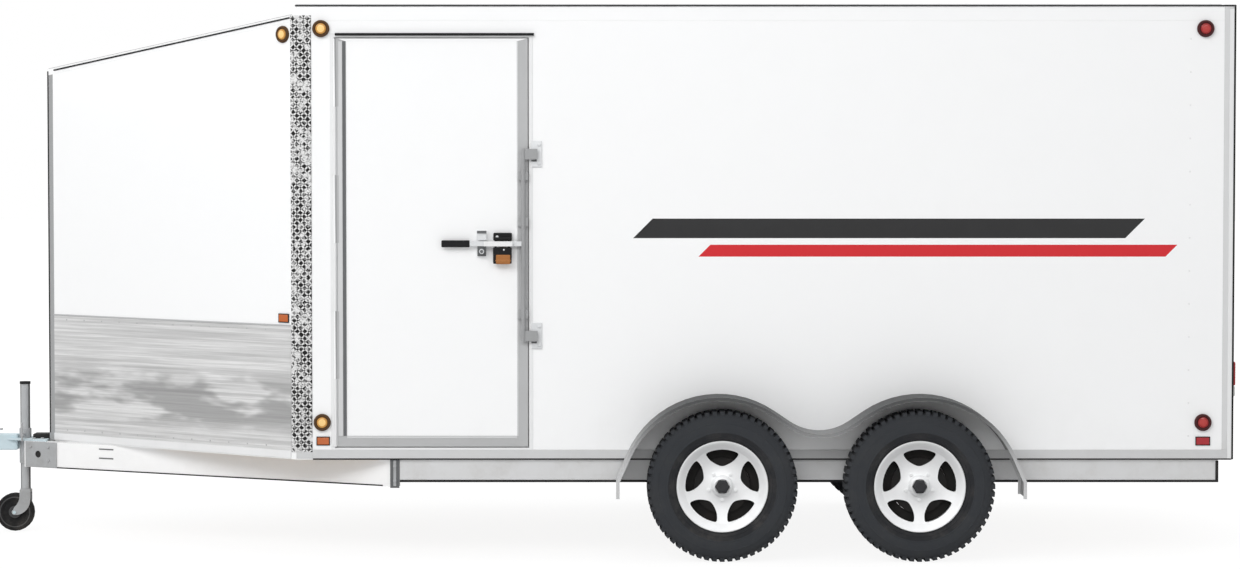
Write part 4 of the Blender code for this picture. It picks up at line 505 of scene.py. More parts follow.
def coat(obj, *materials):
    """Gives a piece its finishes, the first of them all over."""
    obj.data.materials.clear()
    for material in materials:
        obj.data.materials.append(material)
    return obj


def apply_all(obj):
    bpy.context.view_layer.objects.active = obj
    for modifier in list(obj.modifiers):
        bpy.ops.object.modifier_apply(modifier=modifier.name)


def smooth(obj, degrees=35):
    pick(obj)
    bpy.ops.object.shade_smooth_by_angle(angle=math.radians(degrees))


def bevelled(obj, width, segments=2):
    modifier = obj.modifiers.new("Edge", "BEVEL")
    modifier.width = width
    modifier.segments = segments
    modifier.limit_method = "ANGLE"
    apply_all(obj)
    return obj


def cut_out(obj, cutter):
    """Cuts one piece out of another and removes the cutter."""
    cut = obj.modifiers.new("Cut", "BOOLEAN")
    cut.operation = "DIFFERENCE"
    cut.solver = "EXACT"
    cut.object = cutter
    apply_all(obj)
    bpy.data.objects.remove(cutter)


def row_of(obj, count, step):
    """Repeats a piece along a straight line."""
    array = obj.modifiers.new("Row", "ARRAY")
    array.use_relative_offset = False
    array.use_constant_offset = True
    array.constant_offset_displace = step
    array.count = count
    apply_all(obj)
    return obj


def cuboid(size, bevel=0.0, segments=2):
    """A box round the origin, rounded at its edges."""
    begin()
    bpy.ops.mesh.primitive_cube_add(size=1)
    obj = bpy.context.object
    obj.scale = size
    bpy.ops.object.transform_apply(location=False, rotation=False, scale=True)
    if bevel:
        bevelled(obj, bevel, segments)
    return obj


def block(low, high, bevel=0.0, segments=2):
    """A block between two corners, rounded at its edges."""
    low, high = Vector(low), Vector(high)
    obj = cuboid([abs(v) for v in high - low], bevel, segments)
    obj.location = (low + high) / 2
    return obj


def plate(sign, stations, depths, heights, bevel=0.0008, segments=2):
    """A block between two stations, two distances from the middle on one side, and two heights."""
    return block(*((at(station), sign * depth, height)
                   for station, depth, height in zip(stations, depths, heights)), bevel, segments)


def beam(start, end, depth, height, bevel=0.0, upright=(0, 0, 1)):
    """A straight bar of box section between two points, its height along the upright."""
    start, end = Vector(start), Vector(end)
    along = (end - start).normalized()
    aside = Vector(upright).cross(along).normalized()
    obj = cuboid(((end - start).length, depth, height), bevel)
    obj.rotation_euler = Matrix((along, aside, along.cross(aside))).transposed().to_euler()
    obj.location = (start + end) / 2
    return obj


def slanted(sign, lean, line):
    """A slanted side face: places on it by station, height and distance off it, and its outward."""
    outward = Vector((-math.sin(lean), sign * math.cos(lean), 0))

    def place(station, height, proud):
        return Vector((at(station), sign * line(station), height)) + outward * proud

    return place, outward


def level_strip(place, stations, height, proud, depth, tall, bevel=0.0):
    """A level bar on a slanted side face."""
    start, end = (place(station, height, proud) for station in stations)
    return beam(start, end, depth, tall, bevel)


def round_bar(start, step, radius, sides=6, bevel=0.0012):
    """A round or six-sided bar that rises from a point by a step."""
    begin()
    start = Vector(start)
    end = start + Vector(step)
    turn = (end - start).to_track_quat("Z", "Y").to_euler()
    bpy.ops.mesh.primitive_cylinder_add(vertices=sides, radius=radius, depth=(end - start).length,
                                        location=(start + end) / 2, rotation=turn)
    obj = bpy.context.object
    if bevel:
        bevelled(obj, bevel)
    return obj


def weld():
    """Merges doubled points of the mesh in Edit Mode, turns its faces outward and leaves the mode."""
    bpy.ops.mesh.select_all(action="SELECT")
    bpy.ops.mesh.remove_doubles(threshold=WELD)
    bpy.ops.mesh.normals_make_consistent(inside=False)
    bpy.ops.object.mode_set(mode="OBJECT")


def lathed(profile, centre, axis, steps=64):
    """A profile of (radius, distance along the axis) in millimetres, extruded by points and spun."""
    points = [(radius / 1000, 0, along / 1000) for radius, along in profile]
    begin()
    bpy.ops.mesh.primitive_plane_add(size=0.01)
    obj = bpy.context.object
    bpy.ops.object.mode_set(mode="EDIT")
    bpy.ops.mesh.merge(type="CENTER")
    bpy.ops.transform.translate(value=points[0])
    for before, after in zip(points, points[1:]):
        step = [b - a for a, b in zip(before, after)]
        bpy.ops.mesh.extrude_region_move(TRANSFORM_OT_translate={"value": step})
    bpy.ops.mesh.select_all(action="SELECT")
    bpy.ops.mesh.spin(steps=steps, angle=2 * math.pi, center=(0, 0, 0), axis=(0, 0, 1))
    weld()
    obj.rotation_euler = Vector(axis).to_track_quat("Z", "Y").to_euler()
    obj.location = centre
    return obj


def ring_of(obj, count, centre, axis):
    """Copies the whole mesh round an axis, the first one kept."""
    apply_place(obj)
    bpy.ops.object.mode_set(mode="EDIT")
    bpy.ops.mesh.select_all(action="SELECT")
    bpy.ops.mesh.spin(steps=count - 1, dupli=True, angle=2 * math.pi * (count - 1) / count,
                      center=centre, axis=axis)
    bpy.ops.object.mode_set(mode="OBJECT")
    return obj


def joined(pieces):
    begin()
    for piece in pieces:
        piece.select_set(True)
    bpy.context.view_layer.objects.active = pieces[0]
    bpy.ops.object.transform_apply(location=True, rotation=True, scale=True)
    if len(pieces) > 1:
        bpy.ops.object.join()
    return bpy.context.object


def rivet_row(place, turn, count, step):
    """A straight row of small domed rivets."""
    begin()
    bpy.ops.mesh.primitive_uv_sphere_add(segments=8, ring_count=4, radius=0.0042)
    dot = bpy.context.object
    dot.scale = (1, 0.5, 1)
    bpy.ops.object.transform_apply(location=False, rotation=False, scale=True)
    dot.rotation_euler = turn
    dot.location = place
    apply_place(dot)
    return row_of(dot, count, step)


# Body panels

def dress_panels():
    for side, sign in SIDES.items():
        def faces_in(centre, normal, sign=sign):
            return normal.y * sign < -0.5
        for wall, skin in (("side_wall", STRIPED_SKIN), ("nose_wall", WHITE_SKIN)):
            paint(f"{wall}_{side}", skin, PLYWOOD)
            repaint(f"{wall}_{side}", 1, faces_in)
        for name, finish in (("stone_guard", GUARD), ("corner_strip", TREAD_PLATE),
                             ("drawbar", WHITE_DRAWBAR), ("fender", FENDER_SHADED_METAL)):
            paint(f"{name}_{side}", finish)
    for name, finish in (("nose_post", NOSE_CAP), ("nose_roof", WHITE_SKIN), ("roof", WHITE_SKIN),
                         ("floor_deck", PLYWOOD), ("chassis_frame", SHADED_WHITE_FRAME),
                         ("rear_frame", SHADED_WHITE_FRAME)):
        paint(name, finish)
    paint("side_door_frame", WHITE_TRIM, CHROME_PLATE)
    repaint("side_door_frame", 1, lambda centre, normal: centre.x > at(1.0905))
    dress_side_door()
    paint("ramp_door", WHITE_SKIN, PLYWOOD)
    repaint("ramp_door", 1, lambda centre, normal: normal.x < -0.5)


def dress_side_door():
    """White outside with an edge of bare extrusions on three sides, and plywood inside."""
    edge = 0.05

    def on_edge(centre, normal):
        outer = centre.y < -1.0685 and centre.x > at(DOOR_START) - 0.001
        return outer and (centre.x < at(DOOR_START) + edge or centre.x > at(DOOR_END) - edge
                          or centre.z < DOOR_BOTTOM + edge)

    paint("side_door", WHITE_SKIN, PLYWOOD, EDGE_EXTRUSION)
    repaint("side_door", 1, lambda centre, normal: normal.y > 0.5 and centre.y > -1.045)
    repaint("side_door", 2, on_edge)


def dress_hardware():
    for name, finish in (("coupler", ZINC), ("coupler_latch", GREY_STEEL), ("jack_clamp", GREY_STEEL),
                         ("jack_fork", GREY_STEEL), ("jack_wheel", DARK_RUBBER), ("padlock", BLACK_GRIP),
                         ("axle_front", AXLE_BLACK), ("axle_rear", AXLE_BLACK)):
        paint(name, finish)
    paint("jack_stem", SIDE_SHADED_TUBE, BLACK_SEAL)
    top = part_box("jack_stem")[1].z
    repaint("jack_stem", 1, lambda centre, normal: centre.z > top - 0.013)
    paint("side_door_lock", LOCK_STEEL, BLACK_GRIP, CHROME_PLATE)
    grip_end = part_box("side_door_lock")[0].x + 0.131
    repaint("side_door_lock", 2, lambda centre, normal:
            centre.x < at(1.030) and abs(centre.z - HANDLE_HEIGHT) < 0.02)
    repaint("side_door_lock", 1, lambda centre, normal: centre.x < grip_end)
    for side in SIDES:
        paint(f"ramp_lock_{side}", LOCK_STEEL, BLACK_GRIP)
        repaint(f"ramp_lock_{side}", 1, lambda centre, normal: abs(centre.y) < 0.615)


# Lamps and reflectors

def marker_lamp(name, sign, glass, bezel, highlight):
    """A round marker lamp: a deep bezel that rolls inward, and a stepped lens whose paler middle is a
    painted highlight.
    """
    low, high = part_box(name)
    turn = NOSE_ANGLE if "nose" in name else 0.0
    outward = Vector((-math.sin(turn), sign * math.cos(turn), 0))
    base = (low + high) / 2 - outward * 0.009
    ring = lathed([(25.0, 0.6), (39.2, 0.6), (39.2, 10.0), (37.8, 15.0), (34.0, 18.2), (29.0, 18.0),
                   (26.2, 15.0), (25.0, 11.0), (25.0, 0.6)], base, outward, 40)
    coat(ring, bezel)
    dome = lathed([(0, 4.0), (24.8, 4.0), (24.8, 14.0), (22.8, 17.2), (17.5, 18.8), (16.8, 18.0),
                   (16.0, 19.0), (11.0, 20.0), (10.4, 19.2), (9.6, 20.2), (0, 21.0)], base, outward, 40)
    coat(dome, glass, highlight)
    # Faces near the lens's middle get the paler colour: a painted highlight.
    for face in dome.data.polygons:
        if math.hypot(face.center.x, face.center.y) < 0.0165 and face.center.z > 0.01:
            face.material_index = 1
    lamp = joined([ring, dome])
    settle(lamp, name + "_glass", None)
    smooth(lamp)
    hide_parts(name)


def tail_lamp(name):
    """A tail lamp: a black seat, a red lens with ribs across it and a clear window low in it."""
    low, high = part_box(name)

    def part(back, front, inset, bottom, top, bevel, segments=2):
        return block((back, low.y + inset, bottom), (front, high.y - inset, top), bevel, segments)

    seat = part(low.x, low.x + 0.0055, 0, low.z, high.z, 0.002)
    glass = part(low.x + 0.002, high.x, 0.003, low.z + 0.052, high.z - 0.003, 0.006, 3)
    clear = part(low.x + 0.002, high.x - 0.001, 0.003, low.z + 0.003, low.z + 0.050, 0.005, 3)
    rib = part(high.x - 0.003, high.x + 0.0006, 0.009, low.z + 0.064, low.z + 0.067, 0.0006)
    ribs = row_of(rib, 8, (0, 0, 0.0118))
    pieces = [coat(piece, finish) for piece, finish in (
        (seat, BLACK_SEAL), (glass, RED), (clear, CLEAR_PANE), (ribs, RED))]
    settle(joined(pieces), name + "_glass", None)
    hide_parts(name)


def dress_lamps():
    for side, sign in SIDES.items():
        for row in ("front_high", "front_low", "nose"):
            marker_lamp(f"lamp_{row}_{side}", sign, AMBER, AMBER_BEZEL, AMBER_HIGHLIGHT)
        for row in ("rear_high", "rear_low"):
            marker_lamp(f"lamp_{row}_{side}", sign, RED, RED_BEZEL, RED_HIGHLIGHT)
        tail_lamp(f"tail_lamp_{side}")
    paint("rear_id_lamps", RED, BLACK_SEAL)
    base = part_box("rear_id_lamps")[0].x + 0.0085
    repaint("rear_id_lamps", 1, lambda centre, normal: centre.x < base)


def add_reflectors():
    """Bevelled reflectors in thin frames, their backs on the panels."""
    for side, sign in SIDES.items():
        for row, station, half_width, height, wide, tall, turn, colour in (
            ("front", 0.124, HALF_WIDTH, 0.536, 0.062, 0.041, 0.0, AMBER_PANE),
            ("rear", 4.172, HALF_WIDTH, 0.536, 0.068, 0.041, 0.0, RED_PANE),
            ("nose", -0.058, nose_line(-0.058), 1.10, 0.066, 0.042, NOSE_ANGLE, AMBER_PANE),
        ):
            outward = Vector((-math.sin(turn), sign * math.cos(turn), 0))
            for tag, size, bevel, finish in (
                ("base", (wide, 0.004, tall), 0.0015, BLACK_SEAL),
                ("lens", (wide * 0.88, 0.007, tall * 0.8), 0.0025, colour),
            ):
                piece = cuboid(size, bevel)
                piece.rotation_euler = (0, 0, sign * turn)
                piece.location = Vector((at(station), sign * half_width, height)) + outward * 0.0035
                settle(piece, f"reflector_{row}_{side}_{tag}", finish)


# Trims and seals

def add_side_trims():
    """Sill trims, corner strips and feet, and dark seals along the roof, corner and rail; the dark strip
    under the sill is painted shadow of the gap beneath the body.
    """
    wall, rail = HALF_WIDTH + LIFT, 1.0554
    low, foot_end, rear_end, seal_top = BODY_BOTTOM + 0.006, 0.0765, 4.3035, 2.5385
    for side, sign in SIDES.items():
        settle(plate(sign, (foot_end, 4.2835), (wall, wall + 0.004), (low, 0.496), 0.0012),
               f"sill_trim_{side}", SILL_TRIM)
        settle(plate(sign, (4.284, rear_end), (wall, wall + 0.003), (low, 2.52), 0.001),
               f"rear_corner_trim_{side}", WHITE_TRIM)
        settle(plate(sign, (0.001, 0.0762), (wall, wall + 0.0034), (low, 0.4845), 0.001),
               f"corner_foot_{side}", SILL_TRIM)
        seals = [
            plate(sign, (0.002, rear_end), (wall, wall + 0.0026), (2.5320, seal_top)),
            plate(sign, (4.3040, 4.3125), (wall, wall + 0.0026), (BODY_BOTTOM + 0.002, seal_top)),
            # A black strip under the sill trim: painted shadow, the shade of the gap under the body.
            plate(sign, (foot_end, rear_end), (wall, wall + 0.002), (BODY_BOTTOM - 0.001, 0.4555)),
        ]
        settle(joined(seals), f"body_seals_and_gap_shade_{side}", BLACK_SEAL)
        edge = [
            plate(sign, (0.4755, 4.2455), (rail, rail + 0.002), (0.3445, 0.3555)),
            plate(sign, (4.2335, 4.2475), (rail, rail + 0.0024), (0.3445, 0.4440)),
        ]
        settle(joined(edge), f"rail_edge_{side}", BLACK_SEAL)
        add_nose_trims(side, sign)
        add_drawbar_trims(side, sign)


def add_nose_trims(side, sign):
    """The nose's sill, the cap along its guard, and the seals at its roof and its post."""
    on_nose, outward = slanted(sign, NOSE_ANGLE, nose_line)
    tip, back = -1.272, -0.024
    settle(level_strip(on_nose, (tip, back), 0.4725, 0.0022, 0.0036, 0.034, 0.001),
           f"nose_sill_{side}", WHITE_TRIM)
    settle(level_strip(on_nose, (tip, back), 1.0668, 0.0024, 0.0040, 0.007, 0.001),
           f"guard_cap_{side}", EDGE_EXTRUSION)
    top = beam(on_nose(-1.262, 2.2570, 0.0022), on_nose(back, 2.4800, 0.0022), 0.0034, 0.007, 0.0008)
    settle(top, f"nose_roof_seal_{side}", BLACK_SEAL)
    edge = beam(on_nose(-1.2955, 0.49, 0.0016), on_nose(-1.2955, 2.252, 0.0016), 0.0030, 0.0065, 0.0008,
                upright=outward.cross(Vector((0, 0, 1))))
    settle(edge, f"nose_post_seal_{side}", BLACK_SEAL)


def add_drawbar_trims(side, sign):
    """The drawbar's dark lower edge, its bolted end bracket, two slots and the gusset at the coupler."""
    on_bar, outward = slanted(sign, DRAWBAR_ANGLE, drawbar_line)
    settle(level_strip(on_bar, (-1.30, 0.395), 0.3265, 0.0016, 0.0024, 0.006, 0.0008),
           f"drawbar_edge_{side}", BLACK_SEAL)
    slots = [level_strip(on_bar, (-1.025, -0.950), height, 0.0010, 0.0016, 0.006, 0.0006)
             for height in (0.428, 0.384)]
    settle(joined(slots), f"drawbar_slots_{side}", SHADED_BEAD)
    flange = 1.0553
    settle(plate(sign, (0.431, 0.4735), (flange, flange + 0.0042), (0.318, 0.449), 0.0012),
           f"drawbar_bracket_{side}", SHADED_BEAD)
    flange += 0.0043
    tongue = [plate(sign, (0.446, 0.459), (flange, flange + 0.003), (0.327, 0.445), 0.001)]
    for height in (0.352, 0.420):
        tongue.append(round_bar((at(0.4525), sign * (flange + 0.003), height), (0, sign * 0.0055, 0),
                                0.0085))
    settle(joined(tongue), f"drawbar_tongue_{side}", GREY_STEEL)
    add_gusset_plate(side, on_bar, outward)


def add_gusset_plate(side, on_bar, outward):
    """The bolted plate with a round hole that ties the drawbar's front end, and behind the hole a black
    strip that is painted shadow.
    """
    hole_at, hole_height = -1.345, 0.388
    tie = level_strip(on_bar, (-1.412, -1.246), 0.3865, 0.0030, 0.0045, 0.124)
    hole = round_bar(on_bar(hole_at, hole_height, -0.02), outward * 0.05, 0.017, 20, 0.0)
    apply_place(tie)
    cut_out(tie, hole)
    bevelled(tie, 0.0012)
    # A black strip behind the hole: painted shadow, the shade inside the hole.
    hole_shade = level_strip(on_bar, (-1.3665, -1.3225), hole_height, 0.0009, 0.001, 0.044)
    settle(hole_shade, f"gusset_hole_shade_{side}", BLACK_SEAL)
    heads = [round_bar(on_bar(station, height, 0.0050), outward * 0.0055, 0.008)
             for station, height in ((-1.385, 0.425), (-1.290, 0.425), (-1.290, 0.360))]
    settle(joined([tie] + heads), f"drawbar_gusset_{side}", GREY_STEEL)


def add_door_trims():
    """The drip cap over the door, and beads along the inner edges of the leaf's extrusions."""
    cap = plate(-1, (DOOR_START, 1.096), (DOOR_FACE + 0.001, DOOR_FACE + 0.016), (2.400, 2.405), 0.001)
    fin = plate(-1, (DOOR_START, 1.096), (1.0704, 1.0735), (2.398, 2.410), 0.001)
    settle(joined([cap, fin]), "door_drip_cap", BLACK_SEAL)

    def bead(start, end, proud, low, high, bevel=0.0008):
        face = DOOR_FACE + 0.0002
        return plate(-1, (start, end), (face, face + proud), (DOOR_BOTTOM + low, high), bevel)

    top, full_top = DOOR_TOP - 0.013, DOOR_TOP - 0.001
    # A dark bead along the inner edge of the leaf's front extrusion: painted shade.
    settle(bead(DOOR_START + 0.034, DOOR_START + 0.048, 0.003, 0.05, top, 0.001),
           "door_left_bead", SHADED_BEAD, "side_door")
    settle(bead(DOOR_START + 0.010, DOOR_START + 0.033, 0.0022, 0.05, top, 0.001),
           "door_left_strip", SILL_TRIM, "side_door")
    beads = [
        bead(DOOR_START + 0.001, DOOR_START + 0.008, 0.002, 0.001, full_top),
        bead(DOOR_END - 0.049, DOOR_END - 0.043, 0.002, 0.05, top),
        bead(DOOR_START + 0.05, DOOR_END - 0.05, 0.002, 0.038, DOOR_BOTTOM + 0.048),
    ]
    settle(joined(beads), "door_beads", SILL_TRIM, "side_door")


# Lock and jack

def add_lock_details():
    """Bolts and lips on the keepers, and what surrounds the padlock and the catch."""
    bolts = [round_bar((at(1.119), -KEEPER_FACE, height + shift), (0, -0.0038, 0), 0.0075, 12, 0.0015)
             for height in KEEPER_HEIGHTS for shift in (-0.043, 0.043)]
    settle(joined(bolts), "keeper_bolts", CHROME_PLATE)
    lips = []
    for height in KEEPER_HEIGHTS:
        for stations, top in (((1.083, 1.101), -0.027), ((1.101, 1.108), 0.018)):
            lips.append(plate(-1, stations, (KEEPER_FACE, KEEPER_FACE + 0.003),
                              (height - 0.034, height + top), 0.0006))
    settle(joined(lips), "keeper_lips", SHADED_BEAD)
    add_padlock_details()
    add_catch_details()


def add_padlock_details():
    """The padlock's brass body with a rim, the black hasp above it, its rivets and the handle's bar."""
    brass = plate(-1, (0.921, 0.988), (1.0865, 1.1155), (1.352, 1.396), 0.005, 3)
    rim = plate(-1, (0.919, 0.990), (1.0860, 1.1165), (1.365, 1.371), 0.0015)
    settle(joined([brass, rim]), "padlock_body", BRASS_BODY, "side_door")
    hasp = plate(-1, (0.909, 0.994), (1.0705, 1.0925), (1.459, 1.495), 0.005, 3)
    settle(hasp, "lock_hasp", BLACK_GRIP, "side_door")
    bright = [
        round_bar((at(0.927), -1.0920, 1.477), (0, -0.0045, 0), 0.0065, 14, 0.0015),
        round_bar((at(0.958), -1.1128, 1.418), (0, -0.0027, 0), 0.0040, 12, 0.0008),
    ]
    settle(joined(bright), "lock_rivets", CHROME_PLATE, "side_door")
    bar = plate(-1, (0.866, 0.998), (1.1105, 1.1150), (1.4335, 1.4565), 0.0016)
    post = plate(-1, (0.868, 0.896), (1.0925, 1.1110), (1.4365, 1.4535), 0.0012)
    settle(joined([bar, post]), "handle_hasp_bar", WHITE_TRIM, "side_door")


def add_catch_details():
    """The catch's bright clasp, and below it a turned knob with a ring on a dark plate."""
    clasp = [
        plate(-1, (0.834, 0.878), (1.0872, 1.0900), (1.462, 1.504), 0.0012),
        plate(-1, (0.838, 0.874), (1.0898, 1.0925), (1.490, 1.500), 0.001),
    ]
    settle(joined(clasp), "catch_clasp", CHROME_PLATE, "side_door")
    knob = [
        lathed([(0, 0), (16.5, 0), (16.5, 4.0), (13.0, 7.5), (12.5, 11.0), (14.5, 13.5), (12.0, 16.5),
                (0, 17.5)], CATCH_SPOT, (0, -1, 0), 28),
        plate(-1, (0.836, 0.876), (1.0874, 1.0899), (1.388, 1.434), 0.0012),
        plate(-1, (0.834, 0.878), (1.0926, 1.0942), (1.4925, 1.5050), 0.0006),
    ]
    settle(joined(knob), "catch_knob", SHADED_BEAD, "side_door")
    ring = lathed([(7.5, 16.8), (11.5, 16.8), (11.0, 19.0), (8.0, 19.0), (7.5, 16.8)],
                  CATCH_SPOT, (0, -1, 0), 24)
    settle(ring, "catch_ring", CHROME_PLATE, "side_door")


def add_jack_details():
    """The jack wheel's side rings, its axle's nuts, the coupler's bolts and the pad under the clamp."""
    rings, nuts = [], []
    for sign in SIDES.values():
        out = (0, sign, 0)
        rings.append(lathed([(70.0, 21.5), (76.0, 21.5), (75.2, 23.2), (70.8, 23.2), (70.0, 21.5)],
                            JACK_WHEEL_CENTRE, out, 40))
        rings.append(lathed([(18.0, 21.5), (30.0, 21.5), (28.5, 24.0), (19.5, 24.0), (18.0, 21.5)],
                            JACK_WHEEL_CENTRE, out, 32))
        nuts.append(round_bar(JACK_WHEEL_CENTRE + Vector((0, sign * 0.0356, 0)), (0, sign * 0.0069, 0),
                              0.009))
    settle(joined(rings), "jack_wheel_rings", GREY_RUBBER, "jack_wheel")
    settle(joined(nuts), "jack_axle_nuts", ZINC, "jack_fork")
    bolts = [round_bar((at(station), sign * 0.072, 0.4583), (0, 0, 0.006), 0.0085)
             for station in (-1.335, -1.375) for sign in SIDES.values()]
    settle(joined(bolts), "coupler_bolts", GREY_STEEL)
    settle(plate(1, (-1.384, -1.305), (-0.050, 0.050), (0.4585, 0.4800), 0.003),
           "jack_mount_pad", BLACK_SEAL)


# Roof, rear and rivets

def add_roof_details():
    """Seam strips across the roof, edge rails round both roofs and the rivets along them."""
    strip = plate(1, (0.80, 0.836), (-1.028, 1.028), (ROOF_SKIN, 2.5416), 0.0006)
    settle(row_of(strip, 4, (0.86, 0, 0)), "roof_seams", SILL_TRIM)
    start, end = 0.003, ROOF_END - 0.012
    rails = [plate(1, stations, (-1.0285, 1.0285), (ROOF_SKIN, ROOF_EDGE))
             for stations in ((start, 0.021), (ROOF_END - 0.03, end))]
    rails += [plate(sign, (start, end), (1.029, 1.0475), (ROOF_SKIN, ROOF_EDGE))
              for sign in SIDES.values()]
    settle(joined(rails), "roof_edge_rails", EDGE_EXTRUSION)
    rails = [beam((at(-1.288), sign * 0.052, NOSE_TIP_TOP), (at(-0.018), sign * 1.040, NOSE_BACK_TOP),
                  0.018, 0.006, 0.001, (-0.18, 0, 1)) for sign in SIDES.values()]
    settle(joined(rails), "nose_roof_rails", EDGE_EXTRUSION)
    rows = [rivet_row((at(0.09), sign * 1.038, 2.5423), (math.radians(90), 0, 0), 34, (0.1245, 0, 0))
            for sign in SIDES.values()]
    settle(joined(rows), "roof_rivets", WHITE_TRIM)


def add_rear_details():
    """The ramp's edge trims, rows of rivets where its cross-members lie, and the seal round the opening."""
    face = 4.3062
    skin = (face, face + 0.0024)
    trims = [plate(sign, skin, (0.915, 0.951), (0.506, 2.389)) for sign in SIDES.values()]
    trims += [plate(1, skin, (-0.9148, 0.9148), heights) for heights in ((0.506, 0.540), (2.355, 2.389))]
    settle(joined(trims), "ramp_edge_trims", EDGE_EXTRUSION, "ramp_door")
    rows = [rivet_row((at(face) + 0.0002, -0.78, height), (0, 0, math.radians(90)), 14, (0, 0.12, 0))
            for height in (0.95, 1.35, 1.75, 2.10)]
    settle(joined(rows), "ramp_rivets", WHITE_TRIM, "ramp_door")
    back = (REAR_FACE + 0.0002, REAR_FACE + 0.0032)
    seals = [plate(sign, back, (0.9615, 0.9715), (0.500, 2.412), 0.001) for sign in SIDES.values()]
    seals.append(plate(1, back, (-0.9614, 0.9614), (2.402, 2.412), 0.001))
    settle(joined(seals), "ramp_seal", BLACK_SEAL)


def add_rivets():
    """Rivets down the wall's rear end and the corner strip, and along the stone guard."""
    step = 0.0955
    for side, sign in SIDES.items():
        column = rivet_row((at(4.105), sign * (HALF_WIDTH + 0.0006), 0.56), (0, 0, 0), 13, (0, 0, 0.152))
        settle(column, f"wall_rivets_{side}", WHITE_TRIM)
        column = rivet_row((at(0.066), sign * (HALF_WIDTH + 0.0038), 0.53), (0, 0, 0), 20, (0, 0, 0.1))
        settle(column, f"corner_rivets_{side}", GREY_STEEL)
        rows = [rivet_row((at(-1.20), sign * (nose_line(-1.20) + 0.0033), height),
                          (0, 0, sign * NOSE_ANGLE), 12, (step, sign * step * NOSE_SLOPE, 0))
                for height in (1.045, 0.508)]
        settle(joined(rows), f"guard_rivets_{side}", GREY_STEEL)


# Wheels

def tyre_piece(name, centre, outward):
    """A radial tyre with ringed sidewalls and seven rows of tread blocks."""
    side = [
        (191.0, 75.8), (209.5, 76.0), (215.5, 79.5), (217.5, 84.5), (222.0, 88.5), (226.5, 91.5),
        (229.0, 90.5), (238.0, 95.5), (247.0, 98.5), (248.5, 100.0), (252.5, 100.2), (254.0, 99.6),
        (265.0, 101.5), (276.0, 102.4), (288.0, 101.6), (289.5, 102.5), (293.0, 102.0), (294.5, 100.2),
        (306.0, 96.5), (318.0, 90.5), (326.5, 83.2), (331.5, 76.0), (334.0, 68.0),
    ]
    profile = side + [(r, -z) for r, z in reversed(side)] + [side[0]]
    carcass = lathed(profile, centre, outward, 96)
    rows = []
    for offset, width, length, tilt in (
        (0.0, 0.020, 0.026, 0), (0.026, 0.021, 0.025, 3), (-0.026, 0.021, 0.025, 3),
        (0.054, 0.024, 0.022, 0), (-0.054, 0.024, 0.022, 0),
        (0.0765, 0.017, 0.0205, 0), (-0.0765, 0.017, 0.0205, 0),
    ):
        low, high = (0.322, 0.3425) if abs(offset) > 0.07 else (0.331, 0.3437)
        lug = block((-length / 2, offset - width / 2, low), (length / 2, offset + width / 2, high))
        lug.rotation_euler = (0, math.radians(tilt), 0)
        rows.append(ring_of(lug, 60, (0, 0, 0), (0, 1, 0)))
    lugs = joined(rows)
    lugs.location = centre
    tyre = joined([carcass, lugs])
    settle(tyre, name + "_tread", RUBBER, name.replace("tyre", "wheel"))
    smooth(tyre, 30)
    tyre.data.materials.append(INNER_RUBBER)
    for face in tyre.data.polygons:
        away = face.center - centre
        if math.hypot(away.x, away.z) < 0.2475:
            face.material_index = 1
    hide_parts(name)


def window_outline(middle):
    """The rim's opening: wide with tight corners at the rim, narrow and round towards the hub."""
    half = [(168.8, 8), (168.8, 16), (168.4, 22), (166.4, 26.0), (159.0, 27.4), (145.0, 27.0),
            (130.0, 25.4), (117.0, 22.2), (106.0, 17.6), (97.5, 12.0), (91.8, 6.0)]
    points = [(168.8, 0)] + half + [(90.0, 0)] + [(r, -a) for r, a in reversed(half)]
    return [(r / 1000 * math.cos(math.radians(middle + a)), r / 1000 * math.sin(math.radians(middle + a)))
            for r, a in points]


def window_cutter(middle):
    curve = bpy.data.curves.new("window", "CURVE")
    curve.dimensions = "2D"
    curve.fill_mode = "BOTH"
    curve.extrude = 0.05
    outline = window_outline(middle)
    spline = curve.splines.new("POLY")
    spline.points.add(len(outline) - 1)
    spline.use_cyclic_u = True
    for place, (u, v) in zip(spline.points, outline):
        place.co = (u, v, 0, 1)
    guide = bpy.data.objects.new("window", curve)
    bpy.context.scene.collection.objects.link(guide)
    pick(guide)
    bpy.ops.object.convert(target="MESH")
    cutter = bpy.context.object
    bpy.ops.object.mode_set(mode="EDIT")
    weld()
    cutter.location = (0, 0, 0.04)
    return cutter


def star_face():
    """The rim's cast face, lying on its back: a dish that falls towards the hub, with five windows."""
    dish = lathed([(42.5, 30.3), (90.0, 30.3), (128.0, 32.0), (150.0, 40.0), (176.5, 49.0),
                   (176.5, 64.0), (170.0, 61.3), (160.0, 56.8), (145.0, 51.4), (130.0, 46.8),
                   (115.0, 43.2), (100.0, 41.0), (85.0, 40.2), (70.0, 40.8), (56.0, 43.6),
                   (48.0, 47.0), (42.5, 49.0), (42.5, 30.3)], (0, 0, 0), (0, 0, 1), 80)
    joined([dish])
    cut_out(dish, joined([window_cutter(90 + 72 * i) for i in range(5)]))
    bevelled(dish, 0.0034, 3)
    return dish


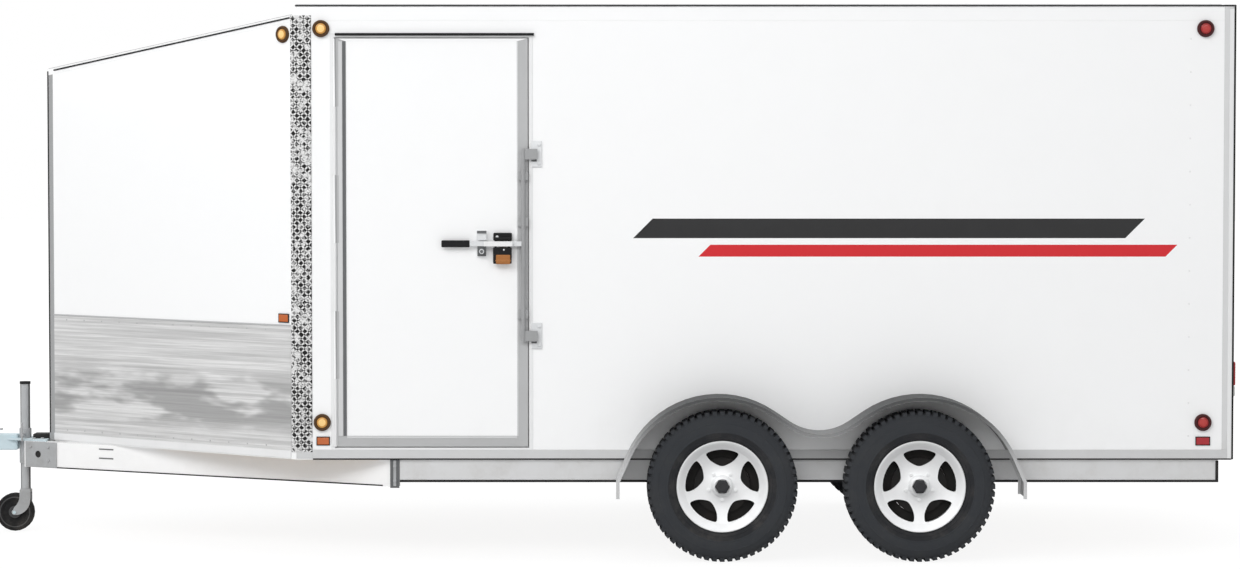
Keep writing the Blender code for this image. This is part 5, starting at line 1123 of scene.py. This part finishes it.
def rim_piece(name, centre, outward):
    """The alloy rim: barrel and lips, star, hub ring, five nuts, cap, and the brake's shield behind."""
    sign = outward.y
    body = name.replace("rim", "wheel")
    barrel = lathed([(183.8, 44.0), (183.8, -81.5), (208.5, -82.2), (208.8, -76.5), (190.5, -75.5),
                     (190.5, 72.5), (207.0, 75.8), (208.8, 78.5), (208.8, 81.2), (206.6, 83.2),
                     (203.4, 83.0), (198.5, 80.8), (192.0, 77.0), (185.0, 72.0), (178.0, 66.4),
                     (173.6, 63.4), (172.2, 61.0), (172.2, 46.0), (183.8, 44.0)], centre, outward, 96)
    dish = star_face()
    dish.rotation_euler = Matrix(((-sign, 0, 0), (0, 0, sign), (0, 1, 0))).to_euler()
    dish.location = centre
    ring = lathed([(41.8, 43.0), (52.0, 43.0), (50.0, 50.0), (45.0, 57.0), (39.0, 62.5), (34.0, 65.0),
                   (33.0, 60.0), (41.8, 60.0), (41.8, 43.0)], centre, outward, 48)
    rim = joined([barrel, dish, ring])
    settle(rim, name + "_cast", ALLOY, body)
    smooth(rim, 40)
    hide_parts(name)
    nut_circle = 0.064
    nuts = []
    for i in range(5):
        angle = math.radians(-90 + 72 * i)
        place = centre + Vector((nut_circle * math.cos(angle), 0, nut_circle * math.sin(angle)))
        nuts.append(round_bar(place + outward * 0.036, outward * 0.0115, 0.0085))
    settle(joined(nuts), name.replace("rim", "nuts"), ALLOY, body)
    cap = lathed([(0, 60.0), (33.0, 60.0), (33.8, 76.0), (30.0, 82.5), (19.0, 85.0), (17.0, 83.8),
                  (0, 83.8)], centre, outward, 6)
    settle(bevelled(cap, 0.0012), name.replace("rim", "cap"), ALLOY_CAP, body)
    shield = lathed([(127.5, 8.0), (171.2, 8.0), (171.2, 13.0), (127.5, 15.0), (127.5, 8.0)],
                    centre, outward, 48)
    settle(shield, name.replace("rim", "shield"), BRAKE_IRON, body)


def dress_wheels():
    for body, (station, sign) in WHEELS.items():
        place = body.replace("wheel_", "")
        middle = Vector((at(station), sign * WHEEL_PLANE, WHEEL_RADIUS))
        outward = Vector((0, sign, 0))
        tyre_piece(f"tyre_{place}", middle, outward)
        rim_piece(f"rim_{place}", middle, outward)
        paint(f"hub_drum_{place}", BRAKE_IRON, ALLOY, ALLOY_CAP)
        for index, depth, radius in ((1, 0.03, 0.043), (2, 0.0598, 0.0285)):
            def on_hub(centre, normal, m=middle, s=sign, depth=depth, radius=radius):
                return (centre.y - m.y) * s > depth and math.hypot(centre.x - m.x, centre.z - m.z) < radius
            repaint(f"hub_drum_{place}", index, on_hub)


dress_panels()
dress_hardware()
dress_lamps()
add_reflectors()
add_side_trims()
add_door_trims()
add_lock_details()
add_jack_details()
add_roof_details()
add_rear_details()
dress_wheels()
add_rivets()


# Floor, light and camera

def stage_material():
    """A pale floor that the camera sees as near white with the object's shadow on it.

    What mirrors the floor near the trailer sees it darker, as a studio's dark surroundings.
    """
    material = bpy.data.materials.new("pale_floor")
    material.use_nodes = True
    tree = material.node_tree
    lit = tree.nodes["Principled BSDF"]
    place = place_in(tree)
    path = tree.nodes.new("ShaderNodeLightPath").outputs
    away = add_node(tree, "VectorMath", {0: mapped(tree, place, (0.6, 1.0, 1.0))}, operation="LENGTH")
    shown = add_node(tree, "BsdfPrincipled", {
        "Base Color": grey(0.14, 0), "Roughness": 0.95, "Specular IOR Level": 0.0,
        "Emission Strength": 1.0, "Emission Color": span(tree, away.outputs["Value"], 1.6, 4.2, 0.90, 1.0)})
    near = span(tree, math_node(tree, "ABSOLUTE", axes_of(tree, place)["Y"]), 3.0, 4.2, 1.0, 0.0)
    mirrored_near = product(tree, near, path["Is Glossy Ray"])
    feed(tree, lit, {"Roughness": 0.95, "Specular IOR Level": 0.1, "Base Color": blend_colour(
        tree, mirrored_near, grey(0.85, 0), grey(0.32, 0))})
    seen = math_node(tree, "MAXIMUM", path["Is Camera Ray"], path["Is Transmission Ray"])
    mix = add_node(tree, "MixShader", {0: seen, 1: lit.outputs[0], 2: shown.outputs[0]})
    feed(tree, tree.nodes["Material Output"], {"Surface": mix.outputs[0]})
    return material


def build_stage():
    begin()
    bpy.ops.mesh.primitive_plane_add(size=120)
    floor = bpy.context.object
    floor.name = "floor"
    floor.data.materials.append(stage_material())


def build_world():
    """White for the camera and for mirrors, and half as bright as a light."""
    world = bpy.data.worlds.new("studio")
    bpy.context.scene.world = world
    world.use_nodes = True
    tree = world.node_tree
    path = tree.nodes.new("ShaderNodeLightPath").outputs
    seen = math_node(tree, "MAXIMUM", path["Is Camera Ray"], path["Is Glossy Ray"])
    seen = math_node(tree, "MAXIMUM", seen, path["Is Transmission Ray"])
    strength = add_node(tree, "Mix", {0: seen, 2: 0.5, 3: 1.0}, data_type="FLOAT")
    feed(tree, tree.nodes["Background"], {"Color": (1, 1, 1), "Strength": strength.outputs[0]})


def build_lights():
    """Large soft lamps, each aimed at a point of the trailer or under it."""
    for name, place, target, size, power in (
        ("key", (-5.5, -10.5, 8.5), (0, -1, 1.2), (9, 6), 690),
        ("fill", (2, -13, 7.5), (0.5, -1, 0.8), (9, 2.5), 240),
        ("top", (0, 0, 9), (0, 0, 0), (9, 5), 60),
        ("back", (0, 12, 6), (0, 1, 1.2), (9, 5), 420),
        ("rear", (13, 1, 5), (3, 0, 1.2), (5, 6), 300),
        ("front", (-13, 0, 5), (-3, 0, 1.2), (5, 6), 120),
    ):
        light = bpy.data.lights.new(name, "AREA")
        light.shape = "RECTANGLE"
        light.size, light.size_y = size
        light.energy = power
        obj = bpy.data.objects.new(name, light)
        obj.location = place
        obj.rotation_euler = (Vector(target) - Vector(place)).to_track_quat("-Z", "Y").to_euler()
        bpy.context.scene.collection.objects.link(obj)


def build_camera():
    """A long lens from the left, a little above the middle of the box and tilted down slightly."""
    camera = bpy.data.cameras.new("camera")
    camera.sensor_fit = "HORIZONTAL"
    camera.sensor_width = 36
    camera.lens = 101.2
    camera.clip_end = 200
    obj = bpy.data.objects.new("camera", camera)
    obj.location = (at(1.490), -17.067, 1.957)
    obj.rotation_euler = (math.radians(90 - 2.505), 0, 0)
    bpy.context.scene.collection.objects.link(obj)
    bpy.context.scene.camera = obj


build_stage()
build_world()
build_lights()
build_camera()
bpy.context.scene.view_settings.view_transform = "Standard"
